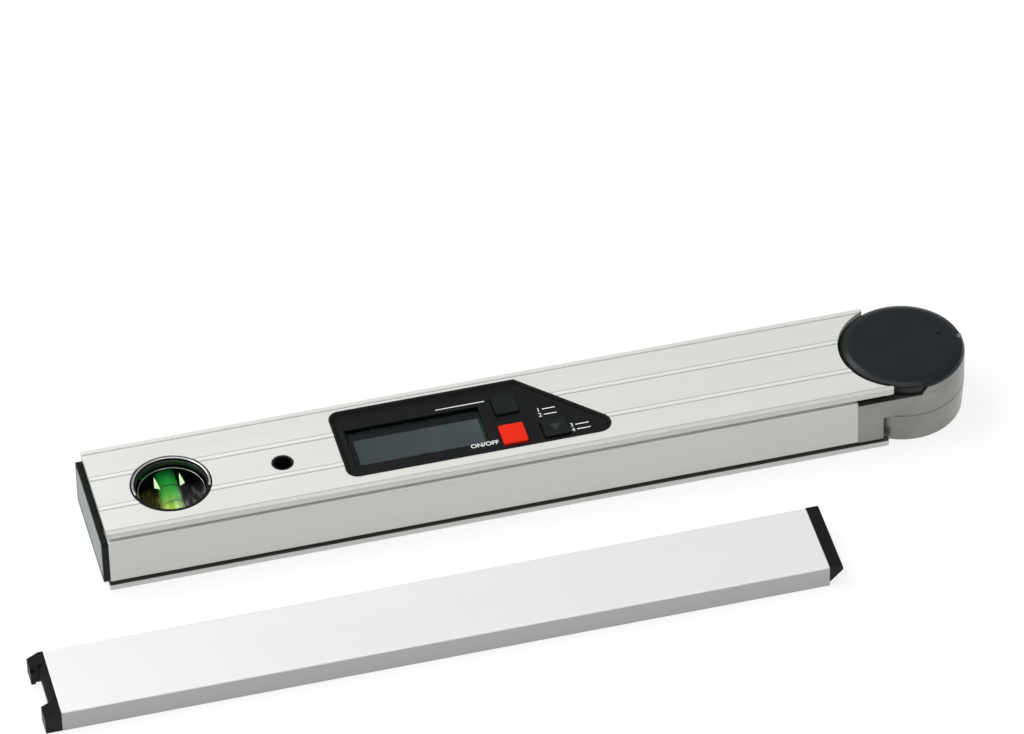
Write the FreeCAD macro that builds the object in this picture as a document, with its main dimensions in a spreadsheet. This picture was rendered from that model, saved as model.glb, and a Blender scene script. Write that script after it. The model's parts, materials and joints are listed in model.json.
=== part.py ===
import FreeCAD, Part
import math
import os
import Sketcher
from FreeCAD import Placement, Rotation, Vector

# Folding digital angle finder with its loose leg extension.  Millimetres.
# The origin is on the hinge axis in the underside.  The folded tool lies
# along -X, its rear measuring edge faces +Y, its display faces +Z.

SIZES = (
    # thick leg: one aluminium extrusion, open at the front for the folding arm
    ("leg_reach", 398.2, "hinge axis to the sawn end of the thick leg"),
    ("tool_width", 61, "front measuring edge to rear measuring edge"),
    ("tool_height", 36, "underside to top"),
    ("flange_thick", 3.2, "top and bottom walls of the extrusion"),
    ("rear_wall", 2.8, "rear wall of the extrusion"),
    ("web_wall", 1.7, "wall behind the folded arm"),
    ("edge_round", 0.8, "long outer edges of the extrusions"),
    ("groove_deep", 0.45, "depth of the grooves in the underside"),
    ("groove_wide", 2.2, "broad grooves of the underside, ribs of the top"),
    ("groove_line", 0.8, "width of the fine rear groove"),
    ("groove_edge", 2.8, "rear edge to the fine groove"),
    ("rail_wide", 2.8, "raised rails along both edges of the top"),
    ("panel_deep", 0.35, "panels between the rails and ribs of the top"),
    ("groove_rear", 10, "centre line to the rear broad groove and rib"),
    ("groove_front", 11.4, "centre line to the front broad groove and rib"),
    ("tip_top", 12, "hinge axis to the tips of the top flange"),
    ("tip_bottom", 14.4, "hinge axis to the tips of the bottom flange"),
    ("tip_round", 1.5, "corner radius of the flange tips"),
    ("plug_gap", 0.15, "play of a plug in its extrusion"),
    ("cut_past", 0.5, "cuts are drawn this far past the material"),
    # thin arm
    ("arm_height", 25, "height of the folding arm"),
    ("arm_depth", 6, "depth of the folding arm"),
    ("arm_wall", 1.3, "wall of the folding arm"),
    ("arm_short", 0.3, "arm ends this far before the thick leg does"),
    ("slide_gap", 0.3, "folded arm to the web behind it"),
    ("spigot_long", 28, "knuckle spigot inside the arm"),
    ("arm_plug_long", 8, "depth of the arm's end plug"),
    # hinge castings
    ("hub_gap", 0.3, "hub to the hollow of the flanges around it"),
    ("mating_level", 16.5, "height of the joint between the two castings"),
    ("mating_gap", 0.3, "gap between the two castings"),
    ("hub_draft", 1.1, "radius that the lower casting loses towards its foot"),
    ("hub_foot_round", 1, "rounding of the lower casting's foot"),
    ("cheek_inner", 17.5, "hinge axis to the step of a casting's cheek"),
    ("cheek_step", 2.1, "cheek over the joint between the castings"),
    ("casting_drop", 1.5, "top of the upper casting below that of the arm"),
    ("seat_gap", 0.2, "casting plug to the flanges above and below it"),
    ("rim_wall", 1.05, "raised rim around the cover"),
    ("rim_tall", 3.8, "height of the raised rim"),
    ("rim_start", 1.8, "foot of the ramp up to the raised rim"),
    ("rim_ramp", 2.7, "length of that ramp"),
    ("lug_wide", 3.2, "locating lug of the cover"),
    ("lug_deep", 2.8, "radial size of the lug"),
    ("lug_tall", 5.6, "height of the lug over the casting"),
    ("base_plug_long", 28, "casting plug inside the thick leg"),
    ("plug_wall", 4, "walls of that plug"),
    # hinge stack
    ("spindle_radius", 6, "hinge spindle"),
    ("spindle_play", 0.03, "radial play of the spindle in its bush"),
    ("head_radius", 9, "spindle head"),
    ("head_thick", 3.9, "spindle head"),
    ("head_gap", 0.4, "spindle head in its counterbore"),
    ("spanner_radius", 1, "spanner holes of the spindle head"),
    ("spanner_reach", 5, "spanner holes from the axis"),
    ("spanner_deep", 2, "depth of the spanner holes"),
    ("bush_wall", 2, "hinge bush"),
    ("bush_foot", 0.1, "spindle head to the bush"),
    ("washer_radius", 12, "thrust washer"),
    ("washer_gap", 0.1, "thrust washer in its seat"),
    ("washer_thick", 1.5, "thrust washer"),
    ("ring_wall", 1, "casting ring between the washer and the sensor board"),
    ("board_outer", 24, "outer radius of the sensor board"),
    ("board_thick", 1.6, "circuit boards"),
    ("lead_wide", 11.6, "groove for the sensor leads"),
    ("lead_past", 2, "groove for the leads past the seat and the plug wall"),
    ("board_sink", 2.95, "sensor board seat below the joint"),
    ("encoder_thick", 1.2, "encoder disc"),
    ("encoder_sink", 1.5, "encoder seat above the joint"),
    ("encoder_outer", 23.5, "outer radius of the encoder disc"),
    ("spring_radius", 12.5, "disc springs"),
    ("spring_thick", 1.1, "one disc spring"),
    ("nut_proud", 1, "nut above the casting's top"),
    ("nut_radius", 11, "hinge nut, across corners"),
    ("nut_thick", 2.5, "hinge nut"),
    ("spindle_proud", 1, "spindle above the casting's top"),
    ("nut_well", 14, "well around the nut and the springs"),
    # hub cover
    ("cover_over", 0.2, "cover above the extrusion's top"),
    ("cover_wall", 1.8, "wall of the cover"),
    ("cover_shoulder", 1.7, "height of the sloped shoulder"),
    ("cover_flat", 4, "width of the sloped shoulder"),
    ("cover_crown", 8, "rounding between the cover's top and its shoulder"),
    ("cover_corner", 1.5, "rounding between the shoulder and the side"),
    ("cover_side", 3, "depth of the cover's outer side"),
    ("cover_gap", 0.6, "cover inside the outer face of the casting"),
    ("skirt_gap", 0.2, "cover skirt inside the raised rim"),
    ("skirt_wall", 1.6, "cover skirt"),
    ("dot_radius", 1.3, "dimple in the cover"),
    ("dot_reach", 19.3, "dimple from the axis"),
    ("dot_side", 2.2, "dimple from the centre line"),
    ("dot_deep", 0.6, "depth of the dimple"),
    # end cap
    ("end_cap_thick", 2.9, "plate of the end cap"),
    ("end_cap_plug", 9, "plug of the end cap"),
    ("end_cap_wall", 2, "wall of that plug"),
    ("end_cap_round", 1.6, "corners of the plate"),
    ("pad_border", 2.2, "plate around the inset pad"),
    ("pad_sink", 0.8, "thickness of the inset pad"),
    ("pad_gap", 0.1, "play around the inset pad"),
    # display housing
    ("display_back", 119.4, "sawn end to the far end of the display"),
    ("display_straight", 92.2, "far end of the display to the start of its slant"),
    ("display_rear", 25.4, "centre line to the rear side of the display"),
    ("display_front", 21.8, "centre line to the front side of the display"),
    ("display_round", 5.5, "far corners of the display"),
    ("display_nose", 6.6, "rounding of the display's nose"),
    ("bezel_thick", 1.6, "edge of the housing let into the flange"),
    ("bezel_gap", 0.15, "housing to its recess"),
    ("bezel_edge", 1.3, "edge outside the well"),
    ("well_wall", 1.2, "walls of the housing"),
    ("well_deep", 10.5, "well under the top of the housing"),
    ("dish_deep", 1.8, "sunken panel"),
    ("dish_edge", 1, "flat edge around the panel"),
    ("dish_slope", 1.3, "sloped border of the panel"),
    ("hook_wide", 9, "snap hooks"),
    ("hook_out", 0.9, "snap hooks under the flange"),
    ("hook_tall", 1.2, "snap hooks"),
    ("hook_gap", 0.1, "snap hooks to the flange"),
    ("hook_first", 28.8, "far end of the display to the first snap hooks"),
    ("hook_second", 78.8, "far end of the display to the second snap hooks"),
    ("notch_wide", 1.6, "marks in the front edge of the bezel"),
    ("notch_deep", 0.9, "marks in the front edge of the bezel"),
    # liquid crystal display
    ("glass_start", 5.3, "far end of the display to its opening"),
    ("glass_long", 66, "length of the display opening"),
    ("glass_front", 13, "centre line to the front of the opening"),
    ("glass_wide", 26, "width of the display opening"),
    ("glass_lap", 0.8, "window under the panel around the opening"),
    ("glass_thick", 1, "window"),
    ("panel_thick", 2.6, "liquid crystal panel"),
    ("panel_inset", 1, "panel inside the opening"),
    ("panel_drop", 0.2, "window to the panel"),
    # keys
    ("key_proud", 1.4, "keys above the sunken panel"),
    ("key_gap", 0.3, "key to its opening"),
    ("key_lip", 0.7, "lip that holds a key in"),
    ("key_lip_thick", 1, "thickness of that lip"),
    ("key_round", 1, "corners of a key"),
    ("key_crown", 0.4, "bevel around a key's top"),
    ("hold_long", 11.9, "hold key along the tool"),
    ("hold_wide", 12.7, "hold key across the tool"),
    ("hold_back", 84.1, "far end of the display to the hold key"),
    ("hold_y", 10, "centre line to the hold key"),
    ("power_long", 12.2, "power key along the tool"),
    ("power_wide", 13.6, "power key across the tool"),
    ("power_back", 83.1, "far end of the display to the power key"),
    ("power_y", 11.2, "centre line to the power key, towards the front"),
    ("mode_long", 12.4, "mode key along the tool"),
    ("mode_wide", 11.5, "mode key across the tool"),
    ("mode_back", 103.5, "far end of the display to the mode key"),
    ("mode_y", 12.2, "centre line to the mode key, towards the front"),
    ("mat_thick", 0.8, "web of the key mat"),
    ("mat_far", 5, "power key to the far side of the key mat"),
    ("mat_margin", 5, "keys to the front and rear sides of the key mat"),
    ("dome_tall", 1.9, "domes of the key mat"),
    ("dome_radius", 3.4, "domes of the key mat"),
    # main circuit board
    ("board_level", 26, "underside of the circuit board"),
    ("board_play", 0.6, "circuit board inside the housing"),
    ("boss_radius", 2.4, "bosses for the board screws"),
    ("boss_first", 10.8, "far end of the display to the first bosses"),
    ("boss_clear", 0.4, "near bosses to the lip of the power key"),
    ("boss_rear", 18.4, "centre line to the rear bosses"),
    ("boss_front", 16.6, "centre line to the front bosses"),
    ("small_screw", 1.1, "board screws"),
    ("small_head", 2.1, "heads of the board screws"),
    ("small_head_tall", 1.2, "heads of the board screws"),
    ("small_screw_long", 5, "board screws under the head"),
    # batteries
    ("cell_radius", 7.25, "size AA cell"),
    ("cell_long", 49.2, "size AA cell without its button"),
    ("cell_button", 1.3, "button of the cell"),
    ("cell_button_radius", 2.75, "button of the cell"),
    ("cell_gap", 0.4, "between the two rows of cells"),
    ("cell_rise", 0.4, "cover to the cells"),
    ("bay_past", 4.2, "battery bay past the far end of the display"),
    ("bay_play", 1.5, "cells to each end of the battery bay"),
    ("bay_wide", 30.4, "width of the battery bay"),
    ("bay_y", 2.65, "centre line of the leg to that of the bay"),
    ("bay_roof", 0.5, "cells to the roof of the tray"),
    ("tray_wall", 1.6, "walls of the battery tray"),
    ("tray_rim", 4, "rim of the tray on the bottom wall"),
    ("tray_ear", 8, "ears of the tray for its screws"),
    ("door_lap", 1.2, "battery cover under the rim of the tray"),
    ("door_gap", 0.25, "battery cover in its opening"),
    ("door_sink", 0.3, "battery cover below the underside"),
    ("door_thick", 2.6, "battery cover"),
    ("door_round", 2, "corners of the battery cover"),
    ("grip_long", 12, "finger notch of the battery cover"),
    ("grip_wide", 3, "finger notch of the battery cover"),
    ("grip_inset", 3, "end of the battery cover to its finger notch"),
    ("grip_deep", 1, "finger notch of the battery cover"),
    ("contact_thick", 0.4, "battery contacts"),
    ("contact_tall", 11, "battery contacts"),
    # level vial window
    ("vial_back", 37, "sawn end to the level window"),
    ("vial_y", 2.7, "centre line to the level window, towards the front"),
    ("vial_hole", 19.7, "hole in the top of the leg"),
    ("vial_gap", 0.15, "vial cup in its hole"),
    ("vial_cup_wall", 1.6, "vial cup"),
    ("vial_cup_deep", 20, "vial cup"),
    ("vial_rim_sink", 0.4, "rim of the cup under the top of the leg"),
    ("vial_block_tall", 13.5, "clear block in the cup"),
    ("vial_block_gap", 0.1, "clear block in the cup"),
    ("vial_tube_gap", 0.1, "level tube in the clear block"),
    ("liquid_gap", 0.1, "liquid inside the level tubes"),
    ("vial_tube_radius", 6, "level tube"),
    ("vial_tube_wall", 1.2, "level tube"),
    ("vial_tube_long", 33, "level tube"),
    ("vial_tube_level", 23.5, "height of the level tube's axis"),
    # hanging hole
    ("hang_back", 91.4, "sawn end to the hanging hole"),
    ("hang_y", 2.65, "centre line to the hanging hole, towards the front"),
    ("hang_radius", 4.4, "clear radius of the hanging hole"),
    ("hang_wall", 0.9, "liner of the hanging hole"),
    ("hang_gap", 0.1, "liner in its holes"),
    ("hang_sink", 0.5, "liner below the faces"),
    # level vial in the rear edge
    ("edge_x", 108, "hinge axis to the rear level vial"),
    ("edge_long", 40, "rear vial housing"),
    ("edge_tall", 14, "rear vial housing"),
    ("edge_deep", 13, "rear vial housing"),
    ("edge_gap", 0.15, "rear vial housing in its opening"),
    ("edge_sink", 0.3, "rear vial housing below the rear face"),
    ("edge_round_corner", 4, "corners of the rear vial housing"),
    ("edge_tube_radius", 5, "rear level tube"),
    ("edge_tube_wall", 1, "rear level tube"),
    ("edge_tube_long", 32, "rear level tube"),
    ("edge_window_play", 0.2, "rear level tube in its pocket"),
    # screws through the bottom wall
    ("screw_radius", 2, "screws through the bottom wall"),
    ("screw_head", 3.6, "their heads"),
    ("screw_head_tall", 1.8, "their heads"),
    ("screw_sink", 0.2, "their heads below the underside"),
    ("screw_gap", 0.15, "holes around screws"),
    ("socket_radius", 1.4, "sockets of the screws, across corners"),
    ("socket_deep", 1.3, "sockets of the screws"),
    ("screw_long", 4.6, "screws under their heads"),
    ("knuckle_screw_x", 46, "hinge axis to the knuckle screws"),
    ("knuckle_screw_y", 12, "knuckle screws from the middle of the plug"),
    ("arm_screw_radius", 1, "screws through the arm's inner wall"),
    ("arm_screw_head", 2, "their heads"),
    ("arm_screw_head_tall", 0.7, "their heads"),
    ("arm_screw_far", 50, "hinge axis to the far arm screw"),
    ("arm_screw_near", 38, "hinge axis to the near arm screw"),
    # leg extension
    ("extension_far", 439.8, "hinge axis to the far end of the extension"),
    ("extension_near", 68.7, "hinge axis to the near end of the extension"),
    ("extension_rear", 74.2, "hinge axis to the rear side of the extension"),
    ("extension_wide", 43.3, "width of the extension"),
    ("extension_tall", 11.3, "height of the extension"),
    ("extension_side", 1.15, "side walls of the extension"),
    ("extension_top", 1.8, "top wall of the extension"),
    ("extension_plug", 10, "cap plugs inside the extension"),
    ("slot_play", 0.25, "folding arm in the slot of the extension"),
    ("slot_rear", 8.1, "rear side of the extension to its slot"),
    ("hook_long", 7.9, "legs of the hook cap"),
    ("hook_flat", 2.2, "flat top of the hook cap"),
    ("hook_drop", 3, "slope of the hook cap's legs"),
    ("bridge_long", 4, "bridge between the legs of the hook cap"),
    ("bridge_slope", 2, "sloped edge of the bridge"),
    ("barb_wide", 1.2, "barb of the hook cap"),
    ("barb_long", 2.2, "barb of the hook cap"),
    ("foot_cap_long", 6.5, "near cap of the extension"),
    ("foot_cap_face", 2.6, "upright face of the near cap"),
    ("foot_cap_round", 1, "upper edge of the near cap"),
)


class Size:
    """A length together with the sheet formula that gives it."""

    def __init__(self, number, formula=None):
        self.number = float(number)
        self.formula = formula or f"({float(number)})"

    def __add__(self, other):
        other = as_size(other)
        return Size(self.number + other.number, f"({self.formula} + {other.formula})")

    def __sub__(self, other):
        other = as_size(other)
        return Size(self.number - other.number, f"({self.formula} - {other.formula})")

    def __mul__(self, factor):
        return Size(self.number * factor, f"({self.formula} * {factor})")

    def __truediv__(self, factor):
        return Size(self.number / factor, f"({self.formula} / {factor})")

    def __neg__(self):
        return Size(-self.number, f"(0 - {self.formula})")


def as_size(value):
    return value if isinstance(value, Size) else Size(value)


class Named:
    """The sheet's sizes by name."""


doc = FreeCAD.newDocument("AngleFinder")
sheet = doc.addObject("Spreadsheet::Sheet", "Sizes")
d = Named()
for row, (alias, value, note) in enumerate(SIZES, start=1):
    sheet.set(f"A{row}", alias)
    sheet.set(f"B{row}", str(value))
    sheet.set(f"C{row}", note)
    sheet.setAlias(f"B{row}", alias)
    setattr(d, alias, Size(value, f"Sizes.{alias}"))
doc.recompute()

ZERO = Size(0)
START, END, CENTRE = range(1, 4)
ACROSS_AXIS, UP_AXIS = (-1, -2)
ORIGIN_POINT = (ACROSS_AXIS, START)
subparts = []


# ---------------------------------------------------------------- sketches

def new_body(name):
    body = doc.addObject("PartDesign::Body", name)
    body.Label = name
    subparts.append(body)
    return body


def sketch_on(body, plane, level=ZERO):
    """A sketch parallel to an origin plane, at a coordinate along that plane's axis."""
    sketch = body.newObject("Sketcher::SketchObject", "outline")
    roles = {feature.Role: feature for feature in body.Origin.OriginFeatures}
    sketch.AttachmentSupport = [(roles[plane + "_Plane"], "")]
    sketch.MapMode = "FlatFace"
    offset = -level if plane == "XZ" else level
    sketch.setExpression("AttachmentOffset.Base.z", offset.formula)
    return sketch


def place(sketch, curve, point, x, y):
    """Ties a point of a curve to its distances from the sketch origin."""
    for kind, distance, axis in (("DistanceX", x, UP_AXIS), ("DistanceY", y, ACROSS_AXIS)):
        if abs(distance.number) < 1e-9:
            sketch.addConstraint(Sketcher.Constraint("PointOnObject", curve, point, axis))
            continue
        ends = [ORIGIN_POINT, (curve, point)]
        if distance.number < 0:
            ends.reverse()
            distance = -distance
        (a, a_point), (b, b_point) = ends
        rule = Sketcher.Constraint(kind, a, a_point, b, b_point, distance.number)
        index = sketch.addConstraint(rule)
        sketch.setExpression(f"Constraints[{index}]", distance.formula)


def circle(sketch, x, y, radius):
    middle = Vector(x.number, y.number, 0)
    curve = sketch.addGeometry(Part.Circle(middle, Vector(0, 0, 1), radius.number))
    place(sketch, curve, CENTRE, x, y)
    index = sketch.addConstraint(Sketcher.Constraint("Radius", curve, radius.number))
    sketch.setExpression(f"Constraints[{index}]", radius.formula)


def outline(sketch, corners):
    """A closed run of straight sides; a corner's third value is its rounding radius."""
    points = [Vector(c[0].number, c[1].number, 0) for c in corners]
    ways = [(points[(i + 1) % len(points)] - points[i]).normalize() for i in range(len(points))]
    arrive = []
    leave = []
    for i, corner in enumerate(corners):
        x, y = corner[:2]
        if len(corner) == 2:
            arrive.append((x, y))
            leave.append((x, y))
            continue
        before = ways[i - 1]
        after = ways[i]
        setback = corner[2] * math.tan(before.getAngle(after) / 2)
        arrive.append((x - setback * before.x, y - setback * before.y))
        leave.append((x + setback * after.x, y + setback * after.y))
    sides = []
    for i in range(len(corners)):
        a = leave[i]
        b = arrive[(i + 1) % len(corners)]
        line = Part.LineSegment(Vector(a[0].number, a[1].number, 0),
                                Vector(b[0].number, b[1].number, 0))
        sides.append(sketch.addGeometry(line))
    for i, corner in enumerate(corners):
        place(sketch, sides[i], START, *leave[i])
        if len(corner) == 2:
            sketch.addConstraint(Sketcher.Constraint("Coincident", sides[i - 1], END, sides[i], START))
            continue
        place(sketch, sides[i - 1], END, *arrive[i])
        round_corner(sketch, corner[2], ways[i - 1], ways[i], arrive[i], sides[i - 1], sides[i])


def round_corner(sketch, radius, before, after, arrive, side_in, side_out):
    """An arc of the given radius from the end of one side to the start of the next."""
    turn = 1 if before.cross(after).z > 0 else -1
    angle = before.getAngle(after) * turn
    inward = Vector(-before.y, before.x, 0) * turn
    first = Vector(arrive[0].number, arrive[1].number, 0)
    centre = first + inward * radius.number
    spoke = first - centre
    middle = centre + Rotation(Vector(0, 0, 1), math.degrees(angle / 2)).multVec(spoke)
    last = centre + Rotation(Vector(0, 0, 1), math.degrees(angle)).multVec(spoke)
    arc = sketch.addGeometry(Part.Arc(first, middle, last))
    start, end = (START, END)
    if (sketch.getPoint(arc, START) - first).Length > (sketch.getPoint(arc, END) - first).Length:
        start, end = (END, START)
    sketch.addConstraint(Sketcher.Constraint("Coincident", side_in, END, arc, start))
    sketch.addConstraint(Sketcher.Constraint("Coincident", side_out, START, arc, end))
    index = sketch.addConstraint(Sketcher.Constraint("Radius", arc, radius.number))
    sketch.setExpression(f"Constraints[{index}]", radius.formula)


def rectangle(sketch, x_low, y_low, x_high, y_high, radius=None):
    spots = ((x_low, y_low), (x_high, y_low), (x_high, y_high), (x_low, y_high))
    outline(sketch, [spot + (radius,) if radius else spot for spot in spots])


# ---------------------------------------------------------------- features

def pad(body, sketch, length, back=False, symmetric=False):
    feature = body.newObject("PartDesign::Pad", "pad")
    feature.Profile = sketch
    feature.setExpression("Length", length.formula)
    feature.Reversed = back
    feature.Midplane = symmetric
    doc.recompute()
    return feature


def changed(body, volume):
    """Stops when a feature has left its body as it was."""
    doc.recompute()
    if body.Shape.Volume > volume - 1e-3:
        raise RuntimeError(f"a cut of {body.Label} removes nothing")


def pocket(body, sketch, depth=None, along=False):
    """Cuts against the sketch's normal, or along it; right through without a depth."""
    volume = body.Shape.Volume
    feature = body.newObject("PartDesign::Pocket", "pocket")
    feature.Profile = sketch
    feature.Reversed = along
    if depth:
        feature.setExpression("Length", depth.formula)
    else:
        feature.Type = "ThroughAll"
    changed(body, volume)
    return feature


def revolve(body, sketch, groove=False):
    """Turns a sketch about its own upright axis."""
    kind = "Groove" if groove else "Revolution"
    volume = body.Shape.Volume if groove else 0
    feature = body.newObject("PartDesign::" + kind, kind.lower())
    feature.Profile = sketch
    feature.ReferenceAxis = (sketch, ["V_Axis"])
    feature.Angle = 360
    doc.recompute()
    if groove:
        changed(body, volume)
    return feature


def dress(body, kind, size, wanted):
    """Rounds or bevels the edges that a test picks out."""
    base = body.Tip
    names = [f"Edge{i}" for i, edge in enumerate(base.Shape.Edges, 1) if wanted(edge)]
    if not names:
        raise RuntimeError(f"no edge to dress on {body.Label}")
    feature = body.newObject("PartDesign::" + kind, kind.lower())
    feature.Base = (base, names)
    feature.setExpression("Radius" if kind == "Fillet" else "Size", size.formula)
    doc.recompute()
    return feature


def near(a, b):
    return abs(a - b.number) < 0.01


def edge_at(x=None, y=None, z=None):
    """A test for edges that lie whole at the given coordinates."""
    def wanted(edge):
        box = edge.BoundBox
        checks = ((x, box.XMin, box.XMax), (y, box.YMin, box.YMax), (z, box.ZMin, box.ZMax))
        return all(s is None or near(low, s) and near(high, s) for s, low, high in checks)
    return wanted


def primitive(kind, name, at, turn=None, **sizes):
    """A Part primitive whose sizes and place are tied to the sheet."""
    solid = doc.addObject("Part::" + kind, name)
    if turn:
        solid.Placement = Placement(Vector(), Rotation(*turn))
    for key, value in sizes.items():
        solid.setExpression(key, value.formula)
    for axis, value in zip("xyz", at):
        solid.setExpression("Placement.Base." + axis, value.formula)
    return solid


def fused(name, *pieces):
    joined = doc.addObject("Part::MultiFuse", name)
    joined.Shapes = list(pieces)
    return joined


def cut(name, base, tool):
    result = doc.addObject("Part::Cut", name)
    result.Base = base
    result.Tool = tool
    return result


def group(name, solids):
    """Separate solids of one kind that share a node."""
    whole = doc.addObject("Part::Compound", name)
    whole.Links = list(solids)
    return keep(name, whole)


def keep(name, solid):
    solid.Label = name
    subparts.append(solid)
    return solid


# ---------------------------------------------------------------- shared lines of the design

HALF = d.tool_width / 2
HUB = d.tool_width / 2
TOP = d.tool_height
ROOF = TOP - d.flange_thick
ARM_LOW = (TOP - d.arm_height) / 2
ARM_HIGH = ARM_LOW + d.arm_height
ARM_INNER = HALF - d.arm_depth
WEB_OUTER = ARM_INNER - d.slide_gap
WEB_INNER = WEB_OUTER - d.web_wall
REAR_INNER = HALF - d.rear_wall
MOUTH = HUB - d.hub_gap
LOWER_TOP = d.mating_level - d.mating_gap / 2
UPPER_FOOT = d.mating_level + d.mating_gap / 2
ARM_END = d.leg_reach - d.arm_short
HOLLOW = HUB + d.hub_gap
CAST_TOP = ARM_HIGH - d.casting_drop
DISPLAY_END = d.leg_reach - d.display_back
DISPLAY_SLANT = DISPLAY_END - d.display_straight
GLASS_FAR = DISPLAY_END - d.glass_start
HOLD_X = DISPLAY_END - d.hold_back
POWER_X = DISPLAY_END - d.power_back
MODE_X = DISPLAY_END - d.mode_back
BAY_FAR = DISPLAY_END + d.bay_past
BAY_LONG = (d.cell_long + d.cell_button + d.bay_play) * 2
VIAL_X = d.leg_reach - d.vial_back
HANG_X = d.leg_reach - d.hang_back


# ---------------------------------------------------------------- thick leg

def base_profile():
    """C-shaped extrusion with a closed core; its flanges are hollowed around the hub."""
    body = new_body("base_profile")
    section = sketch_on(body, "YZ", -d.leg_reach)
    outline(section, [
        (-HALF, ZERO, d.edge_round), (HALF, ZERO, d.edge_round),
        (HALF, TOP, d.edge_round), (-HALF, TOP, d.edge_round),
        (-HALF, ROOF), (-WEB_OUTER, ROOF), (-WEB_OUTER, d.flange_thick), (-HALF, d.flange_thick),
    ])
    rectangle(section, -WEB_INNER, d.flange_thick, REAR_INNER, ROOF)
    pad(body, section, d.leg_reach)
    grooves = sketch_on(body, "YZ", -d.leg_reach)
    for middle, width in ((HALF - d.groove_edge, d.groove_line),
                          (d.groove_rear, d.groove_wide), (-d.groove_front, d.groove_wide)):
        groove_section(grooves, middle - width / 2, middle + width / 2, ZERO, d.groove_deep)
    rib = d.groove_wide / 2
    for low, high in ((-HALF + d.rail_wide, -d.groove_front - rib),
                      (-d.groove_front + rib, d.groove_rear - rib),
                      (d.groove_rear + rib, HALF - d.rail_wide)):
        groove_section(grooves, low, high, TOP, -d.panel_deep)
    pocket(body, grooves, along=True)
    mouth = sketch_on(body, "YZ", -MOUTH)
    rectangle(mouth, -(HALF + d.cut_past), d.flange_thick, HALF + d.cut_past, ROOF)
    pocket(body, mouth, along=True)
    hollow = sketch_on(body, "XY", TOP)
    circle(hollow, ZERO, ZERO, HOLLOW)
    pocket(body, hollow)
    trim_tips(body, TOP, d.tip_top)
    trim_tips(body, TOP / 2, d.tip_bottom)
    leg_openings(body)


def trim_tips(body, level, reach):
    """Cuts the flange ends square to the leg below a level and rounds their corners."""
    past = HALF + d.cut_past
    start = -reach - d.tip_round - d.cut_past
    trim = sketch_on(body, "XY", level)
    outline(trim, [
        (start, past), (start, HALF), (-reach, HALF, d.tip_round), (-reach, -HALF, d.tip_round),
        (start, -HALF), (start, -past), (ZERO, -past), (ZERO, past),
    ])
    pocket(body, trim, TOP / 2)


def groove_section(sketch, low, high, face, inward):
    """A shallow groove or panel with sloped sides, drawn a little past the face."""
    slope = inward / 2 if inward.number > 0 else -inward / 2
    outline(sketch, [
        (low - slope, face), (low, face + inward), (high, face + inward), (high + slope, face),
        (high + slope, face - inward), (low - slope, face - inward),
    ])


def leg_openings(body):
    """Cut-outs for the display, the level windows, the battery cover and the screws."""
    recess = sketch_on(body, "XY", TOP)
    wedge(recess, -d.bezel_gap)
    pocket(body, recess, d.bezel_thick)
    well = sketch_on(body, "XY", TOP)
    wedge(well, d.bezel_edge - d.bezel_gap)
    pocket(body, well, d.flange_thick)
    round_window = sketch_on(body, "XY", TOP)
    circle(round_window, -VIAL_X, -d.vial_y, d.vial_hole)
    pocket(body, round_window, d.flange_thick)
    hanging = sketch_on(body, "XY", TOP)
    circle(hanging, -HANG_X, -d.hang_y, d.hang_radius + d.hang_wall + d.hang_gap)
    pocket(body, hanging)
    door = sketch_on(body, "XY", d.flange_thick)
    door_outline(door, d.door_gap)
    pocket(body, door, d.flange_thick)
    rear = sketch_on(body, "XZ", HALF)
    edge_window(rear, d.edge_gap)
    pocket(body, rear, d.rear_wall, along=True)
    for name, level, radius, depth in (("shanks", d.flange_thick, d.screw_radius, d.flange_thick),
                                       ("heads", ZERO, d.screw_head, d.screw_sink + d.screw_head_tall)):
        holes = sketch_on(body, "XY", level)
        for x, y in floor_screw_places():
            circle(holes, x, y, radius + d.screw_gap)
        pocket(body, holes, depth, along=name == "heads")


def floor_screw_places():
    """Two screws into the hinge casting and one into each end of the battery tray."""
    plug_middle = (REAR_INNER - WEB_INNER) / 2
    ear = d.tray_wall + d.tray_ear / 2
    return (
        (-d.knuckle_screw_x, plug_middle + d.knuckle_screw_y),
        (-d.knuckle_screw_x, plug_middle - d.knuckle_screw_y),
        (-(BAY_FAR + ear), d.bay_y),
        (-(BAY_FAR - BAY_LONG - ear), d.bay_y),
    )


def floor_screws(name, places):
    """Low-head screws that stand in counterbores of the bottom wall."""
    solids = []
    for x, y in places:
        head = primitive("Cylinder", "head", (x, y, d.screw_sink),
                         Radius=d.screw_head, Height=d.screw_head_tall)
        shank = primitive("Cylinder", "shank", (x, y, d.screw_sink),
                          Radius=d.screw_radius, Height=d.screw_head_tall + d.screw_long)
        socket = primitive("Prism", "socket", (x, y, ZERO),
                           Circumradius=d.socket_radius, Height=d.socket_deep)
        solids.append(cut("screw", fused("screw_blank", head, shank), socket))
    group(name, solids)


def base_end_cap():
    """Plate over the leg's sawn end with a hollow plug in the closed core."""
    body = new_body("base_end_cap")
    plate = sketch_on(body, "YZ", -d.leg_reach)
    rectangle(plate, -HALF, ARM_LOW, HALF, ARM_HIGH, d.end_cap_round)
    pad(body, plate, d.end_cap_thick, back=True)
    plug = sketch_on(body, "YZ", -d.leg_reach)
    gap = d.plug_gap
    wall = d.end_cap_wall
    rectangle(plug, -WEB_INNER + gap, d.flange_thick + gap, REAR_INNER - gap, ROOF - gap)
    pad(body, plug, d.end_cap_plug)
    inside = sketch_on(body, "YZ", -d.leg_reach + d.end_cap_plug)
    rectangle(inside, -WEB_INNER + gap + wall, d.flange_thick + gap + wall,
              REAR_INNER - gap - wall, ROOF - gap - wall)
    pocket(body, inside, d.end_cap_plug - wall)
    recess = sketch_on(body, "YZ", -d.leg_reach - d.end_cap_thick)
    pad_outline(recess, ZERO)
    pocket(body, recess, d.pad_sink, along=True)


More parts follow.
